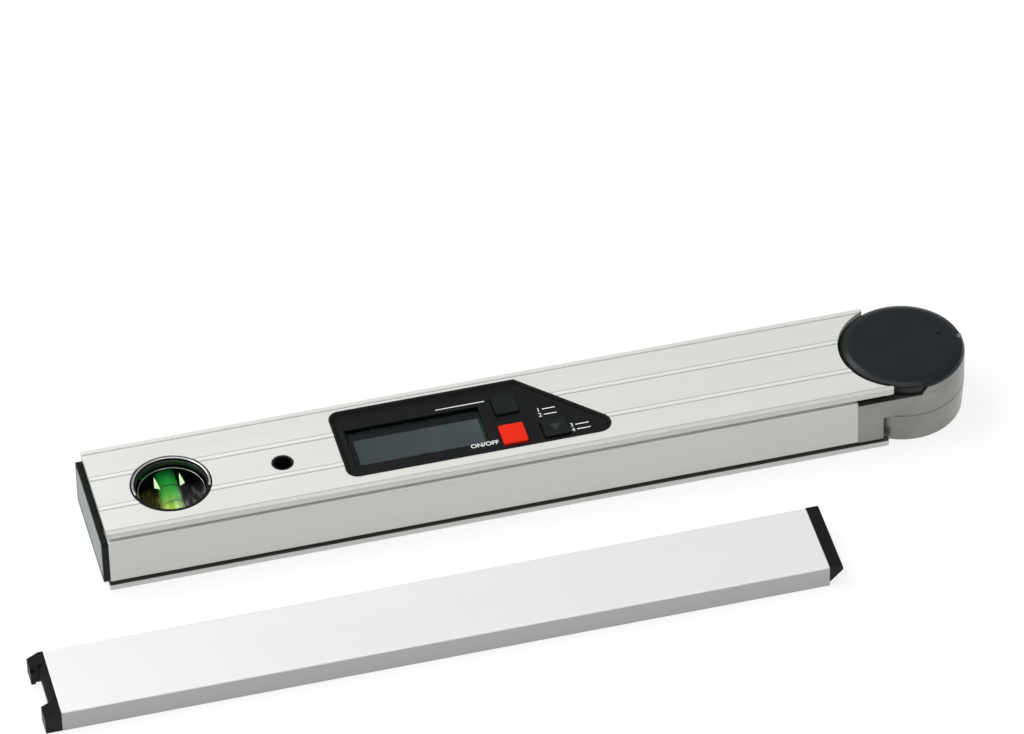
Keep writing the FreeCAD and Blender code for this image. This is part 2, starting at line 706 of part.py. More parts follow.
def pad_outline(sketch, inset):
    border = d.pad_border + inset
    rectangle(sketch, -HALF + border, ARM_LOW + border, HALF - border, ARM_HIGH - border,
              d.end_cap_round - d.pad_gap)


def end_pad():
    """Grey pad let into the end cap, flush with its border."""
    body = new_body("end_pad")
    face = sketch_on(body, "YZ", -d.leg_reach - d.end_cap_thick)
    pad_outline(face, d.pad_gap)
    pad(body, face, d.pad_sink)


# ---------------------------------------------------------------- display and keys

def slant_line(inset):
    """Sum of x and y along the slanted side, moved inwards."""
    return d.display_rear - DISPLAY_SLANT - inset * math.sqrt(2)


def wedge(sketch, inset):
    """Top view of the display: square at the far end, slanted to a nose near the hinge."""
    diagonal = slant_line(inset)
    rear = d.display_rear - inset
    front = -d.display_front + inset
    far = -DISPLAY_END + inset
    outline(sketch, [
        (far, front, d.display_round - inset),
        (diagonal - front, front, d.display_nose - inset),
        (diagonal - rear, rear),
        (far, rear, d.display_round - inset),
    ])


def display_housing():
    """Moulded tray with a bezel in the top wall, a sloped dish, openings, bosses and marks."""
    body = new_body("display_housing")
    floor = TOP - d.dish_deep
    under = floor - d.well_wall
    bezel = sketch_on(body, "XY", TOP)
    wedge(bezel, ZERO)
    pad(body, bezel, d.bezel_thick, back=True)
    well = sketch_on(body, "XY", TOP - d.bezel_thick)
    wedge(well, d.bezel_edge)
    pad(body, well, d.well_deep - d.bezel_thick, back=True)
    inner = sketch_on(body, "XY", TOP - d.well_deep)
    wedge(inner, d.bezel_edge + d.well_wall)
    pocket(body, inner, d.well_deep - (TOP - under), along=True)
    dish = sketch_on(body, "XY", TOP)
    wedge(dish, d.dish_edge)
    slope = pocket(body, dish, d.dish_deep)
    slope.TaperAngle = -math.degrees(math.atan(d.dish_slope.number / d.dish_deep.number))
    doc.recompute()
    openings = sketch_on(body, "XY", floor)
    glass_outline(openings, ZERO)
    for x, y, long, wide in key_places():
        key_outline(openings, x, y, long, wide, d.key_gap)
    pocket(body, openings, d.well_wall)
    bosses = sketch_on(body, "XY", under)
    for x, y in boss_places():
        circle(bosses, x, y, d.boss_radius)
    pad(body, bosses, under - BOARD_TOP, back=True)
    pilots = sketch_on(body, "XY", BOARD_TOP)
    for x, y in boss_places():
        circle(pilots, x, y, d.small_screw)
    pocket(body, pilots, d.small_screw_long - d.board_thick, along=True)
    marks = sketch_on(body, "XY", TOP)
    for x in (-POWER_X, -MODE_X):
        rectangle(marks, x - d.notch_wide / 2, -d.display_front - d.cut_past,
                  x + d.notch_wide / 2, -d.display_front + d.notch_deep)
    pocket(body, marks, d.bezel_thick)
    snap_hooks(body)


def snap_hooks(body):
    """Small ledges that catch under the top wall on both long sides."""
    hooks = sketch_on(body, "XY", ROOF - d.hook_gap)
    rear = d.display_rear - d.bezel_edge
    front = -d.display_front + d.bezel_edge
    for x in (-DISPLAY_END + d.hook_first, -DISPLAY_END + d.hook_second):
        low = x - d.hook_wide / 2
        high = x + d.hook_wide / 2
        rectangle(hooks, low, rear - d.well_wall / 2, high, rear + d.hook_out)
        rectangle(hooks, low, front - d.hook_out, high, front + d.well_wall / 2)
    pad(body, hooks, d.hook_tall, back=True)


BOARD_TOP = d.board_level + d.board_thick
DISH = TOP - d.dish_deep
PANEL_UNDER = DISH - d.well_wall


def boss_places():
    lip = POWER_X + d.power_long / 2 + d.key_gap + d.key_lip
    close = lip + d.boss_clear + d.boss_radius
    return [(-x, y) for x in (DISPLAY_END - d.boss_first, close) for y in (d.boss_rear, -d.boss_front)]


def glass_outline(sketch, margin):
    rectangle(sketch, -GLASS_FAR - margin, -d.glass_front - margin,
              -GLASS_FAR + d.glass_long + margin, -d.glass_front + d.glass_wide + margin)


def key_places():
    """Centre, length and width of the hold, power and mode keys."""
    return (
        (-HOLD_X, d.hold_y, d.hold_long, d.hold_wide),
        (-POWER_X, -d.power_y, d.power_long, d.power_wide),
        (-MODE_X, -d.mode_y, d.mode_long, d.mode_wide),
    )


def key_outline(sketch, x, y, long, wide, margin):
    rectangle(sketch, x - long / 2 - margin, y - wide / 2 - margin,
              x + long / 2 + margin, y + wide / 2 + margin, d.key_round + margin)


def key(name, x, y, long, wide):
    """A cap with a bevelled top and a lip that keeps it under the panel."""
    body = new_body(name)
    lip_top = PANEL_UNDER - d.key_gap
    crown = DISH + d.key_proud
    lip = sketch_on(body, "XY", lip_top - d.key_lip_thick)
    key_outline(lip, x, y, long, wide, d.key_gap + d.key_lip)
    pad(body, lip, d.key_lip_thick)
    cap = sketch_on(body, "XY", lip_top)
    key_outline(cap, x, y, long, wide, ZERO)
    pad(body, cap, crown - lip_top)
    dress(body, "Chamfer", d.key_crown, edge_at(z=crown))


def lcd_window():
    """Clear cover under the opening of the panel."""
    body = new_body("lcd_window")
    face = sketch_on(body, "XY", PANEL_UNDER)
    glass_outline(face, d.glass_lap)
    pad(body, face, d.glass_thick, back=True)


def lcd_panel():
    """Liquid crystal cell that stands under the window."""
    body = new_body("lcd_panel")
    face = sketch_on(body, "XY", PANEL_UNDER - d.glass_thick - d.panel_drop)
    glass_outline(face, -d.panel_inset)
    pad(body, face, d.panel_thick, back=True)


def circuit_board():
    """Board that fills the housing, with holes for its four screws."""
    body = new_body("circuit_board")
    face = sketch_on(body, "XY", d.board_level)
    wedge(face, d.bezel_edge + d.well_wall + d.board_play)
    for x, y in boss_places():
        circle(face, x, y, d.small_screw + d.screw_gap)
    pad(body, face, d.board_thick)


def key_mat():
    """Rubber mat on the board with one dome under each key."""
    body = new_body("key_mat")
    web = sketch_on(body, "XY", BOARD_TOP)
    far = -POWER_X - d.mat_far
    close = -MODE_X + d.mode_long / 2
    front = -d.power_y - d.mat_margin
    rear = d.hold_y + d.mat_margin
    diagonal = slant_line(d.bezel_edge + d.well_wall + d.board_play)
    outline(web, [
        (far, front), (close, front), (close, diagonal - close), (diagonal - rear, rear), (far, rear),
    ])
    pad(body, web, d.mat_thick)
    domes = sketch_on(body, "XY", BOARD_TOP + d.mat_thick)
    for x, y, long, wide in key_places():
        circle(domes, x, y, d.dome_radius)
    pad(body, domes, d.dome_tall)


def board_screws():
    solids = []
    for x, y in boss_places():
        head = primitive("Cylinder", "head", (x, y, d.board_level - d.small_head_tall),
                         Radius=d.small_head, Height=d.small_head_tall)
        shank = primitive("Cylinder", "shank", (x, y, d.board_level - d.small_head_tall),
                          Radius=d.small_screw, Height=d.small_head_tall + d.small_screw_long)
        solids.append(fused("board_screw", head, shank))
    group("board_screws", solids)


# ---------------------------------------------------------------- batteries

def door_outline(sketch, margin):
    lap = d.door_lap + margin
    rectangle(sketch, -BAY_FAR - lap, d.bay_y - d.bay_wide / 2 - lap,
              -BAY_FAR + BAY_LONG + lap, d.bay_y + d.bay_wide / 2 + lap, d.door_round + margin)


def battery_cover():
    """Door in the underside, with a finger notch at its near end."""
    body = new_body("battery_cover")
    plate = sketch_on(body, "XY", d.door_sink)
    door_outline(plate, ZERO)
    pad(body, plate, d.door_thick)
    notch = sketch_on(body, "XY", d.door_sink)
    near_end = -BAY_FAR + BAY_LONG + d.door_lap
    rectangle(notch, near_end - d.grip_inset - d.grip_wide, d.bay_y - d.grip_long / 2,
              near_end - d.grip_inset, d.bay_y + d.grip_long / 2, d.door_round / 2)
    pocket(body, notch, d.grip_deep, along=True)


CELL_LEVEL = d.door_sink + d.door_thick + d.cell_rise + d.cell_radius
TRAY_ROOF = CELL_LEVEL + d.cell_radius + d.bay_roof


def battery_tray():
    """Open-bottomed box over the cells; its rim stands on the bottom wall."""
    body = new_body("battery_tray")
    wall = d.tray_wall
    far = -BAY_FAR
    close = -BAY_FAR + BAY_LONG
    low = d.bay_y - d.bay_wide / 2
    high = d.bay_y + d.bay_wide / 2
    rim = sketch_on(body, "XY", d.flange_thick)
    ear = wall + d.tray_ear
    rectangle(rim, far - ear, low - d.tray_rim, close + ear, high + d.tray_rim, d.door_round)
    pad(body, rim, wall)
    box = sketch_on(body, "XY", d.flange_thick)
    rectangle(box, far - wall, low - wall, close + wall, high + wall, d.door_round)
    pad(body, box, TRAY_ROOF + wall - d.flange_thick)
    bay = sketch_on(body, "XY", d.flange_thick)
    rectangle(bay, far, low, close, high)
    pocket(body, bay, TRAY_ROOF - d.flange_thick, along=True)
    holes = sketch_on(body, "XY", d.flange_thick)
    for x, y in floor_screw_places()[2:]:
        circle(holes, x, y, d.screw_radius)
    pocket(body, holes, wall, along=True)


def cell_rows():
    """Middle of the near row and of the far row across the tool."""
    apart = d.cell_radius + d.cell_gap / 2
    return (d.bay_y + apart, d.bay_y - apart)


def battery_cells():
    """Four size AA cells, two in line in each of two rows that point opposite ways."""
    solids = []
    whole = d.cell_long + d.cell_button
    start = -BAY_FAR + d.bay_play
    for row, y in enumerate(cell_rows()):
        for step in range(2):
            x = start + whole * step
            turn = (Vector(0, 1, 0), 90)
            can_x = x if row == 0 else x + d.cell_button
            tip_x = x + d.cell_long if row == 0 else x
            can = primitive("Cylinder", "can", (can_x, y, CELL_LEVEL), turn,
                            Radius=d.cell_radius, Height=d.cell_long)
            tip = primitive("Cylinder", "tip", (tip_x, y, CELL_LEVEL), turn,
                            Radius=d.cell_button_radius, Height=d.cell_button)
            solids.append(fused("cell", can, tip))
    group("battery_cells", solids)


def battery_contacts():
    """A leaf at each end of the bay with a raised spot for each row of cells."""
    solids = []
    bump = d.bay_play - d.contact_thick
    for near_end in (False, True):
        x = -BAY_FAR + (BAY_LONG - d.contact_thick if near_end else ZERO)
        leaf = primitive("Box", "leaf", (x, d.bay_y - d.bay_wide / 2, CELL_LEVEL - d.contact_tall / 2),
                         Length=d.contact_thick, Width=d.bay_wide, Height=d.contact_tall)
        bump_x = x - bump if near_end else x + d.contact_thick
        spots = [primitive("Cylinder", "spot", (bump_x, y, CELL_LEVEL), (Vector(0, 1, 0), 90),
                           Radius=d.cell_button_radius, Height=bump) for y in cell_rows()]
        solids.append(fused("contact", leaf, *spots))
    group("battery_contacts", solids)


# ---------------------------------------------------------------- levels and hanging hole

def lathe(name, profile, x, y):
    """A turned piece with an upright axis at x, y; profile holds radius and height."""
    body = new_body(name)
    outline(sketch_on(body, "XZ"), profile)
    revolve(body, body.Group[-1])
    body.setExpression("Placement.Base.x", x.formula)
    body.setExpression("Placement.Base.y", y.formula)
    return body


CUP_RADIUS = d.vial_hole - d.vial_gap
CUP_FOOT = TOP - d.vial_rim_sink - d.vial_cup_deep
CUP_INNER = CUP_RADIUS - d.vial_cup_wall
BLOCK_RADIUS = CUP_INNER - d.vial_block_gap
BLOCK_FOOT = CUP_FOOT + d.vial_cup_wall


def vial_housing():
    """Black cup in the round window of the top wall."""
    rim = TOP - d.vial_rim_sink
    lathe("vial_housing", [
        (ZERO, CUP_FOOT), (CUP_RADIUS, CUP_FOOT), (CUP_RADIUS, rim), (CUP_INNER, rim),
        (CUP_INNER, BLOCK_FOOT), (ZERO, BLOCK_FOOT),
    ], -VIAL_X, -d.vial_y)


def vial_block():
    """Clear disc that fills the cup and is bored across for the level tube."""
    body = lathe("vial_block", [
        (ZERO, BLOCK_FOOT), (BLOCK_RADIUS, BLOCK_FOOT),
        (BLOCK_RADIUS, BLOCK_FOOT + d.vial_block_tall), (ZERO, BLOCK_FOOT + d.vial_block_tall),
    ], -VIAL_X, -d.vial_y)
    bore = sketch_on(body, "XZ", d.vial_tube_long / 2 + d.vial_tube_gap)
    circle(bore, ZERO, d.vial_tube_level, d.vial_tube_radius + d.vial_tube_gap)
    pocket(body, bore, d.vial_tube_long + d.vial_tube_gap * 2, along=True)


def tube_and_liquid(prefix, centre, along_y, radius, wall, length):
    """A closed clear tube on its side and the liquid that fills it."""
    x, y, z = centre

    def rod(name, inset):
        long = length - inset * 2
        turn = (Vector(1, 0, 0), 90) if along_y else (Vector(0, 1, 0), 90)
        at = (x, y + long / 2, z) if along_y else (x - long / 2, y, z)
        return primitive("Cylinder", name, at, turn, Radius=radius - inset, Height=long)

    keep(prefix + "_tube", cut(prefix + "_tube", rod("shell", ZERO), rod("hollow", wall)))
    keep(prefix + "_liquid", rod(prefix + "_liquid", wall + d.liquid_gap))


def vial_tube_and_liquid():
    tube_and_liquid("vial", (-VIAL_X, -d.vial_y, d.vial_tube_level), True,
                    d.vial_tube_radius, d.vial_tube_wall, d.vial_tube_long)


def hanging_bush():
    """Black liner through both walls of the leg."""
    outer = d.hang_radius + d.hang_wall
    lathe("hanging_bush", [
        (d.hang_radius, d.hang_sink), (outer, d.hang_sink),
        (outer, TOP - d.hang_sink), (d.hang_radius, TOP - d.hang_sink),
    ], -HANG_X, -d.hang_y)


def edge_window(sketch, margin):
    middle = TOP / 2
    rectangle(sketch, -d.edge_x - d.edge_long / 2 - margin, middle - d.edge_tall / 2 - margin,
              -d.edge_x + d.edge_long / 2 + margin, middle + d.edge_tall / 2 + margin,
              d.edge_round_corner + margin)


def edge_vial_housing():
    """Black insert in the rear wall, open to the rear for its level tube."""
    body = new_body("edge_vial_housing")
    face = HALF - d.edge_sink
    block = sketch_on(body, "XZ", face)
    edge_window(block, ZERO)
    pad(body, block, d.edge_deep)
    window = sketch_on(body, "XZ", face)
    half_long = d.edge_tube_long / 2 + d.edge_window_play
    half_tall = d.edge_tube_radius + d.edge_window_play
    rectangle(window, -d.edge_x - half_long, TOP / 2 - half_tall,
              -d.edge_x + half_long, TOP / 2 + half_tall)
    pocket(body, window, half_tall * 2, along=True)


def edge_vial_tube_and_liquid():
    depth = d.edge_sink + d.edge_tube_radius + d.edge_window_play
    tube_and_liquid("edge_vial", (-d.edge_x, HALF - depth, TOP / 2), False,
                    d.edge_tube_radius, d.edge_tube_wall, d.edge_tube_long)


# ---------------------------------------------------------------- folding arm

def arm_profile():
    """Thin rectangular tube that folds into the side of the thick leg."""
    body = new_body("arm_profile")
    section = sketch_on(body, "YZ", -ARM_END)
    wall = d.arm_wall
    rectangle(section, -HALF, ARM_LOW, -ARM_INNER, ARM_HIGH, d.edge_round)
    rectangle(section, -HALF + wall, ARM_LOW + wall, -ARM_INNER - wall, ARM_HIGH - wall)
    pad(body, section, ARM_END - MOUTH)
    heads = sketch_on(body, "XZ", -ARM_INNER)
    shanks = sketch_on(body, "XZ", -ARM_INNER)
    for x in (-d.arm_screw_far, -d.arm_screw_near):
        circle(heads, x, TOP / 2, d.arm_screw_head + d.screw_gap)
        circle(shanks, x, TOP / 2, d.arm_screw_radius + d.screw_gap)
    pocket(body, heads, d.arm_screw_head_tall, along=True)
    pocket(body, shanks, wall, along=True)


def arm_end_plug():
    """Plug in the free end of the arm."""
    body = new_body("arm_end_plug")
    inset = d.arm_wall + d.plug_gap
    face = sketch_on(body, "YZ", -ARM_END)
    rectangle(face, -HALF + inset, ARM_LOW + inset, -ARM_INNER - inset, ARM_HIGH - inset)
    pad(body, face, d.arm_plug_long)


def arm_screws():
    """Flush screws through the arm's hidden wall into the casting."""
    solids = []
    long = d.arm_depth - d.arm_wall * 2
    for x in (-d.arm_screw_far, -d.arm_screw_near):
        turn = (Vector(1, 0, 0), 90)
        at = (x, -ARM_INNER, TOP / 2)
        head = primitive("Cylinder", "head", at, turn,
                         Radius=d.arm_screw_head, Height=d.arm_screw_head_tall)
        shank = primitive("Cylinder", "shank", at, turn, Radius=d.arm_screw_radius, Height=long)
        solids.append(fused("arm_screw", head, shank))
    group("arm_screws", solids)


def arm_knuckle():
    """Upper casting: a disc with a cheek flush with the arm, and a spigot inside it."""
    body = new_body("arm_knuckle")
    disc = sketch_on(body, "XY", UPPER_FOOT)
    circle(disc, ZERO, ZERO, HUB)
    pad(body, disc, CAST_TOP - UPPER_FOOT)
    web = sketch_on(body, "XY", d.mating_level + d.cheek_step)
    rectangle(web, -d.cheek_inner, -HALF, ZERO, -d.cheek_inner)
    pad(body, web, CAST_TOP - d.mating_level - d.cheek_step)
    cheek = sketch_on(body, "XY", ARM_LOW)
    rectangle(cheek, -MOUTH, -HALF, -d.cheek_inner, -ARM_INNER)
    pad(body, cheek, CAST_TOP - ARM_LOW)
    clear = sketch_on(body, "XY", UPPER_FOOT)
    circle(clear, ZERO, ZERO, HOLLOW)
    pocket(body, clear)
    inset = d.arm_wall + d.plug_gap
    spigot = sketch_on(body, "YZ", -MOUTH)
    rectangle(spigot, -HALF + inset, ARM_LOW + inset, -ARM_INNER - inset, ARM_HIGH - inset)
    pad(body, spigot, d.spigot_long, back=True)
    pilots = sketch_on(body, "XZ", -ARM_INNER)
    for x in (-d.arm_screw_far, -d.arm_screw_near):
        circle(pilots, x, TOP / 2, d.arm_screw_radius)
    pocket(body, pilots, d.arm_depth - d.arm_wall * 2, along=True)
    raised_rim(body)
    hinge_wells(body)


def raised_rim(body):
    """Rim around the cover with a ramp at its ends and a lug that locates the cover."""
    rim_top = CAST_TOP + d.rim_tall
    ring = sketch_on(body, "XY", CAST_TOP)
    circle(ring, ZERO, ZERO, HUB)
    circle(ring, ZERO, ZERO, HUB - d.rim_wall)
    pad(body, ring, d.rim_tall)
    ramp = sketch_on(body, "XZ", HUB + d.cut_past)
    outline(ramp, [
        (-(HUB + d.cut_past), CAST_TOP), (d.rim_start, CAST_TOP),
        (d.rim_start + d.rim_ramp, rim_top), (-(HUB + d.cut_past), rim_top),
    ])
    pocket(body, ramp, along=True)
    lug = sketch_on(body, "XY", CAST_TOP)
    rectangle(lug, HUB - d.lug_deep, -d.lug_wide / 2, HUB - d.rim_wall / 2, d.lug_wide / 2)
    pad(body, lug, d.lug_tall)


def hinge_wells(body):
    """Turned hollows for the nut and springs above and the encoder below."""
    hollows = sketch_on(body, "XZ")
    bore = d.spindle_radius + d.spindle_play
    outline(hollows, [
        (ZERO, UPPER_FOOT), (bore, UPPER_FOOT), (bore, SPRING_FOOT),
        (d.nut_well, SPRING_FOOT), (d.nut_well, CAST_TOP), (ZERO, CAST_TOP),
    ])
    revolve(body, hollows, groove=True)
    encoder = sketch_on(body, "XZ")
    ceiling = UPPER_FOOT + d.encoder_sink
    rectangle(encoder, SENSOR_INNER, UPPER_FOOT, d.encoder_outer + d.ring_wall, ceiling)
    revolve(body, encoder, groove=True)


SPRING_FOOT = CAST_TOP - d.nut_thick - d.spring_thick * 2 + d.nut_proud
SENSOR_INNER = d.washer_radius + d.ring_wall + d.slide_gap
WASHER_SEAT = LOWER_TOP + d.mating_gap / 2 - d.washer_thick
BUSH_FOOT = d.head_thick + d.bush_foot


def base_knuckle():
    """Lower casting: a drafted disc, a rear cheek and a plug in the thick leg."""
    body = new_body("base_knuckle")
    disc = sketch_on(body, "XZ")
    outline(disc, [(ZERO, ZERO), (HUB - d.hub_draft, ZERO), (HUB, LOWER_TOP), (ZERO, LOWER_TOP)])
    revolve(body, disc)
    dress(body, "Fillet", d.hub_foot_round, edge_at(z=ZERO))
    low = d.flange_thick + d.seat_gap
    high = ROOF - d.seat_gap
    gap = d.plug_gap
    plug = sketch_on(body, "XY", low)
    rectangle(plug, -MOUTH - d.base_plug_long, -WEB_INNER + gap, -MOUTH, REAR_INNER - gap)
    pad(body, plug, high - low)
    cheek = sketch_on(body, "XY", low)
    rectangle(cheek, -MOUTH, -WEB_INNER + gap, -d.cheek_inner, HALF)
    pad(body, cheek, high - low)
    clear = sketch_on(body, "XY", high)
    circle(clear, ZERO, ZERO, HOLLOW)
    pocket(body, clear, high - LOWER_TOP)
    web = sketch_on(body, "XY", low)
    rectangle(web, -d.cheek_inner, d.cheek_inner, ZERO, HALF)
    pad(body, web, d.mating_level - d.cheek_step - low)
    wall = d.plug_wall
    cavity = sketch_on(body, "YZ", -MOUTH - d.base_plug_long)
    rectangle(cavity, -WEB_INNER + gap + wall, low + wall, REAR_INNER - gap - wall, high - wall)
    pocket(body, cavity, d.base_plug_long - wall, along=True)
    knuckle_hollows(body)
    pilots = sketch_on(body, "XY", low)
    for x, y in floor_screw_places()[:2]:
        circle(pilots, x, y, d.screw_radius)
    pocket(body, pilots, wall, along=True)


def knuckle_hollows(body):
    """Stepped bore for the spindle head, the bush and the washer; seat of the sensor board."""
    bore = sketch_on(body, "XZ")
    head = d.head_radius + d.head_gap
    bush = d.spindle_radius + d.spindle_play + d.bush_wall
    outline(bore, [
        (ZERO, ZERO), (head, ZERO), (head, BUSH_FOOT), (bush, BUSH_FOOT), (bush, WASHER_SEAT),
        (d.washer_radius + d.washer_gap, WASHER_SEAT), (d.washer_radius + d.washer_gap, LOWER_TOP),
        (ZERO, LOWER_TOP),
    ])
    revolve(body, bore, groove=True)
    seat = sketch_on(body, "XZ")
    rectangle(seat, SENSOR_INNER - d.slide_gap, LOWER_TOP - d.board_sink,
              d.board_outer + d.slide_gap, LOWER_TOP)
    revolve(body, seat, groove=True)
    channel = sketch_on(body, "XY", LOWER_TOP)
    rectangle(channel, -MOUTH - d.plug_wall - d.lead_past, -d.lead_wide / 2,
              -d.board_outer + d.lead_past, d.lead_wide / 2)
    pocket(body, channel, d.board_sink)


def hinge_spindle():
    """Turned spindle with a flush head and two spanner holes."""
    top = CAST_TOP + d.spindle_proud
    body = lathe("hinge_spindle", [
        (ZERO, ZERO), (d.head_radius, ZERO), (d.head_radius, d.head_thick),
        (d.spindle_radius, d.head_thick), (d.spindle_radius, top), (ZERO, top),
    ], ZERO, ZERO)
    holes = sketch_on(body, "XY")
    for side in (-1, 1):
        circle(holes, d.spanner_reach * side, ZERO, d.spanner_radius)
    pocket(body, holes, d.spanner_deep, along=True)


def ring(name, inner, outer, foot, height):
    """A plain turned ring on the hinge axis."""
    return lathe(name, [(inner, foot), (outer, foot), (outer, foot + height), (inner, foot + height)],
                 ZERO, ZERO)


def hinge_rings():
    bore = d.spindle_radius + d.spindle_play
    ring("hinge_bush", bore, bore + d.bush_wall, BUSH_FOOT, WASHER_SEAT - BUSH_FOOT)
    ring("thrust_washer", bore + d.slide_gap, d.washer_radius, WASHER_SEAT, d.washer_thick)
    ring("sensor_board", SENSOR_INNER, d.board_outer, LOWER_TOP - d.board_sink, d.board_thick)
    ceiling = UPPER_FOOT + d.encoder_sink
    ring("encoder_disc", SENSOR_INNER + d.slide_gap, d.encoder_outer,
         ceiling - d.encoder_thick, d.encoder_thick)


def disc_springs():
    """Two disc springs on the spindle, under the nut."""
    springs = []
    for foot in (SPRING_FOOT, SPRING_FOOT + d.spring_thick):
        blank = primitive("Cylinder", "spring_blank", (ZERO, ZERO, foot),
                          Radius=d.spring_radius, Height=d.spring_thick)
        bore = primitive("Cylinder", "spring_bore", (ZERO, ZERO, ZERO),
                         Radius=d.spindle_radius, Height=TOP)
        springs.append(cut("spring", blank, bore))
    group("disc_springs", springs)


def hinge_nut():
    """Flat hexagon nut on the spindle."""
    foot = SPRING_FOOT + d.spring_thick * 2
    blank = primitive("Prism", "nut_blank", (ZERO, ZERO, foot),
                      Circumradius=d.nut_radius, Height=d.nut_thick)
    bore = primitive("Cylinder", "nut_bore", (ZERO, ZERO, ZERO), Radius=d.spindle_radius, Height=TOP)
    keep("hinge_nut", cut("hinge_nut", blank, bore))


def hub_cover():
    """Round cover with a rounded shoulder, a skirt inside the casting's rim, a notch and a dimple."""
    top = TOP + d.cover_over
    edge = HUB - d.cover_gap
    side_foot = top - d.cover_side
    skirt = HUB - d.rim_wall - d.skirt_gap
    skirt_foot = CAST_TOP + d.skirt_gap / 2
    ceiling = top - d.cover_wall
    body = lathe("hub_cover", [
        (ZERO, top), (edge - d.cover_flat, top, d.cover_crown),
        (edge, top - d.cover_shoulder, d.cover_corner), (edge, side_foot), (skirt, side_foot),
        (skirt, skirt_foot), (skirt - d.skirt_wall, skirt_foot), (skirt - d.skirt_wall, ceiling),
        (ZERO, ceiling),
    ], ZERO, ZERO)
    notch = sketch_on(body, "XY", top)
    rectangle(notch, HUB - d.lug_deep - d.skirt_gap, -d.lug_wide / 2 - d.skirt_gap,
              HUB + d.cut_past, d.lug_wide / 2 + d.skirt_gap)
    pocket(body, notch)
    dot = sketch_on(body, "XY", top)
    circle(dot, d.dot_reach, d.dot_side, d.dot_radius)
    pocket(body, dot, d.dot_deep)


# ---------------------------------------------------------------- leg extension

EXT_FRONT = d.extension_rear + d.extension_wide
SLOT_REAR = d.extension_rear + d.slot_rear
SLOT_FRONT = SLOT_REAR + d.arm_height + d.slot_play * 2
SLOT_TOP = d.arm_depth


def extension_profile():
    """Channel, open underneath, that lengthens the folding arm."""
    body = new_body("extension_profile")
    section = sketch_on(body, "YZ", -d.extension_far)
    side = d.extension_side
    roof = d.extension_tall - d.extension_top
    outline(section, [
        (-EXT_FRONT, ZERO), (-EXT_FRONT + side, ZERO), (-EXT_FRONT + side, roof),
        (-d.extension_rear - side, roof), (-d.extension_rear - side, ZERO),
        (-d.extension_rear, ZERO), (-d.extension_rear, d.extension_tall, d.edge_round),
        (-EXT_FRONT, d.extension_tall, d.edge_round),
    ])
    pad(body, section, d.extension_far - d.extension_near)


def extension_plug(body, x, length, low, back):
    """The part of a cap that fills the end of the channel."""
    gap = d.extension_side + d.plug_gap
    roof = d.extension_tall - d.extension_top - d.plug_gap
    plug = sketch_on(body, "YZ", x)
    rectangle(plug, -EXT_FRONT + gap, low, -d.extension_rear - gap, roof)
    pad(body, plug, length, back=back)


def extension_hook_cap():
    """Cap with two legs and a bridge over a slot as large as the arm's section."""
    body = new_body("extension_hook_cap")
    far = -d.extension_far
    top = d.extension_tall
    legs = sketch_on(body, "XZ", -d.extension_rear)
    outline(legs, [
        (far, ZERO), (far, top), (far - d.hook_flat, top),
        (far - d.hook_long, top - d.hook_drop), (far - d.hook_long, ZERO),
    ])
    pad(body, legs, d.extension_wide)
    extension_plug(body, far, d.extension_plug, ZERO, False)
    slot = sketch_on(body, "YZ", far + d.extension_plug)
    rectangle(slot, -SLOT_FRONT, ZERO, -SLOT_REAR, SLOT_TOP)
    pocket(body, slot)
    step = sketch_on(body, "XZ", -SLOT_REAR)
    outline(step, [
        (far - d.hook_long, ZERO), (far - d.bridge_long, ZERO),
        (far - d.bridge_long, top - d.bridge_slope), (far - d.bridge_long + d.bridge_slope, top),
        (far - d.hook_long, top),
    ])
    pocket(body, step, SLOT_FRONT - SLOT_REAR, along=True)
    barb = sketch_on(body, "XY")
    rectangle(barb, far - d.hook_long, -SLOT_REAR - d.barb_wide,
              far - d.hook_long + d.barb_long, -SLOT_REAR)
    pad(body, barb, top - d.hook_drop - d.barb_wide)


def extension_end_cap():
    """Near cap: upright face above, cut back at 45 degrees below."""
    body = new_body("extension_end_cap")
    near_end = -d.extension_near
    top = d.extension_tall
    nose = near_end + d.foot_cap_long
    face_foot = top - d.foot_cap_face
    low = face_foot - d.foot_cap_long
    profile = sketch_on(body, "XZ", -d.extension_rear)
    outline(profile, [
        (near_end, low), (nose, face_foot), (nose, top, d.foot_cap_round), (near_end, top),
    ])
    pad(body, profile, d.extension_wide)
    extension_plug(body, near_end, d.extension_plug, low, True)


# ---------------------------------------------------------------- build, check, write

def build():
    base_profile()
    base_end_cap()
    end_pad()
    display_housing()
    lcd_window()
    lcd_panel()
    for name, sizes in zip(("hold_button", "power_button", "mode_button"), key_places()):
        key(name, *sizes)
    key_mat()
    circuit_board()
    board_screws()
    battery_tray()
    battery_cells()
    battery_contacts()
    battery_cover()
    vial_housing()
    vial_block()
    vial_tube_and_liquid()
    hanging_bush()
    edge_vial_housing()
    edge_vial_tube_and_liquid()
    base_knuckle()
    floor_screws("knuckle_screws", floor_screw_places()[:2])
    floor_screws("tray_screws", floor_screw_places()[2:])
    arm_profile()
    arm_end_plug()
    arm_knuckle()
    arm_screws()
    hinge_spindle()
    hinge_rings()
    disc_springs()
    hinge_nut()
    hub_cover()
    extension_profile()
    extension_hook_cap()
    extension_end_cap()


def check_and_write():
    doc.recompute()
    for thing in doc.Objects:
        if "Invalid" in thing.State or "Error" in thing.State:
            raise RuntimeError(f"{thing.Label} failed: {thing.State}")
    for subpart in subparts:
        if subpart.Shape.isNull() or not subpart.Shape.isValid():
            raise RuntimeError(f"{subpart.Label} has no valid shape")
    os.makedirs("parts", exist_ok=True)
    for subpart in subparts:
        subpart.Shape.exportStep(f"parts/{subpart.Label}.step")
        box = subpart.Shape.BoundBox
        print(f"{subpart.Label}: {len(subpart.Shape.Solids)} solid(s), "
              f"{box.XMin:.1f} {box.YMin:.1f} {box.ZMin:.1f} to {box.XMax:.1f} {box.YMax:.1f} {box.ZMax:.1f}")


build()
check_and_write()
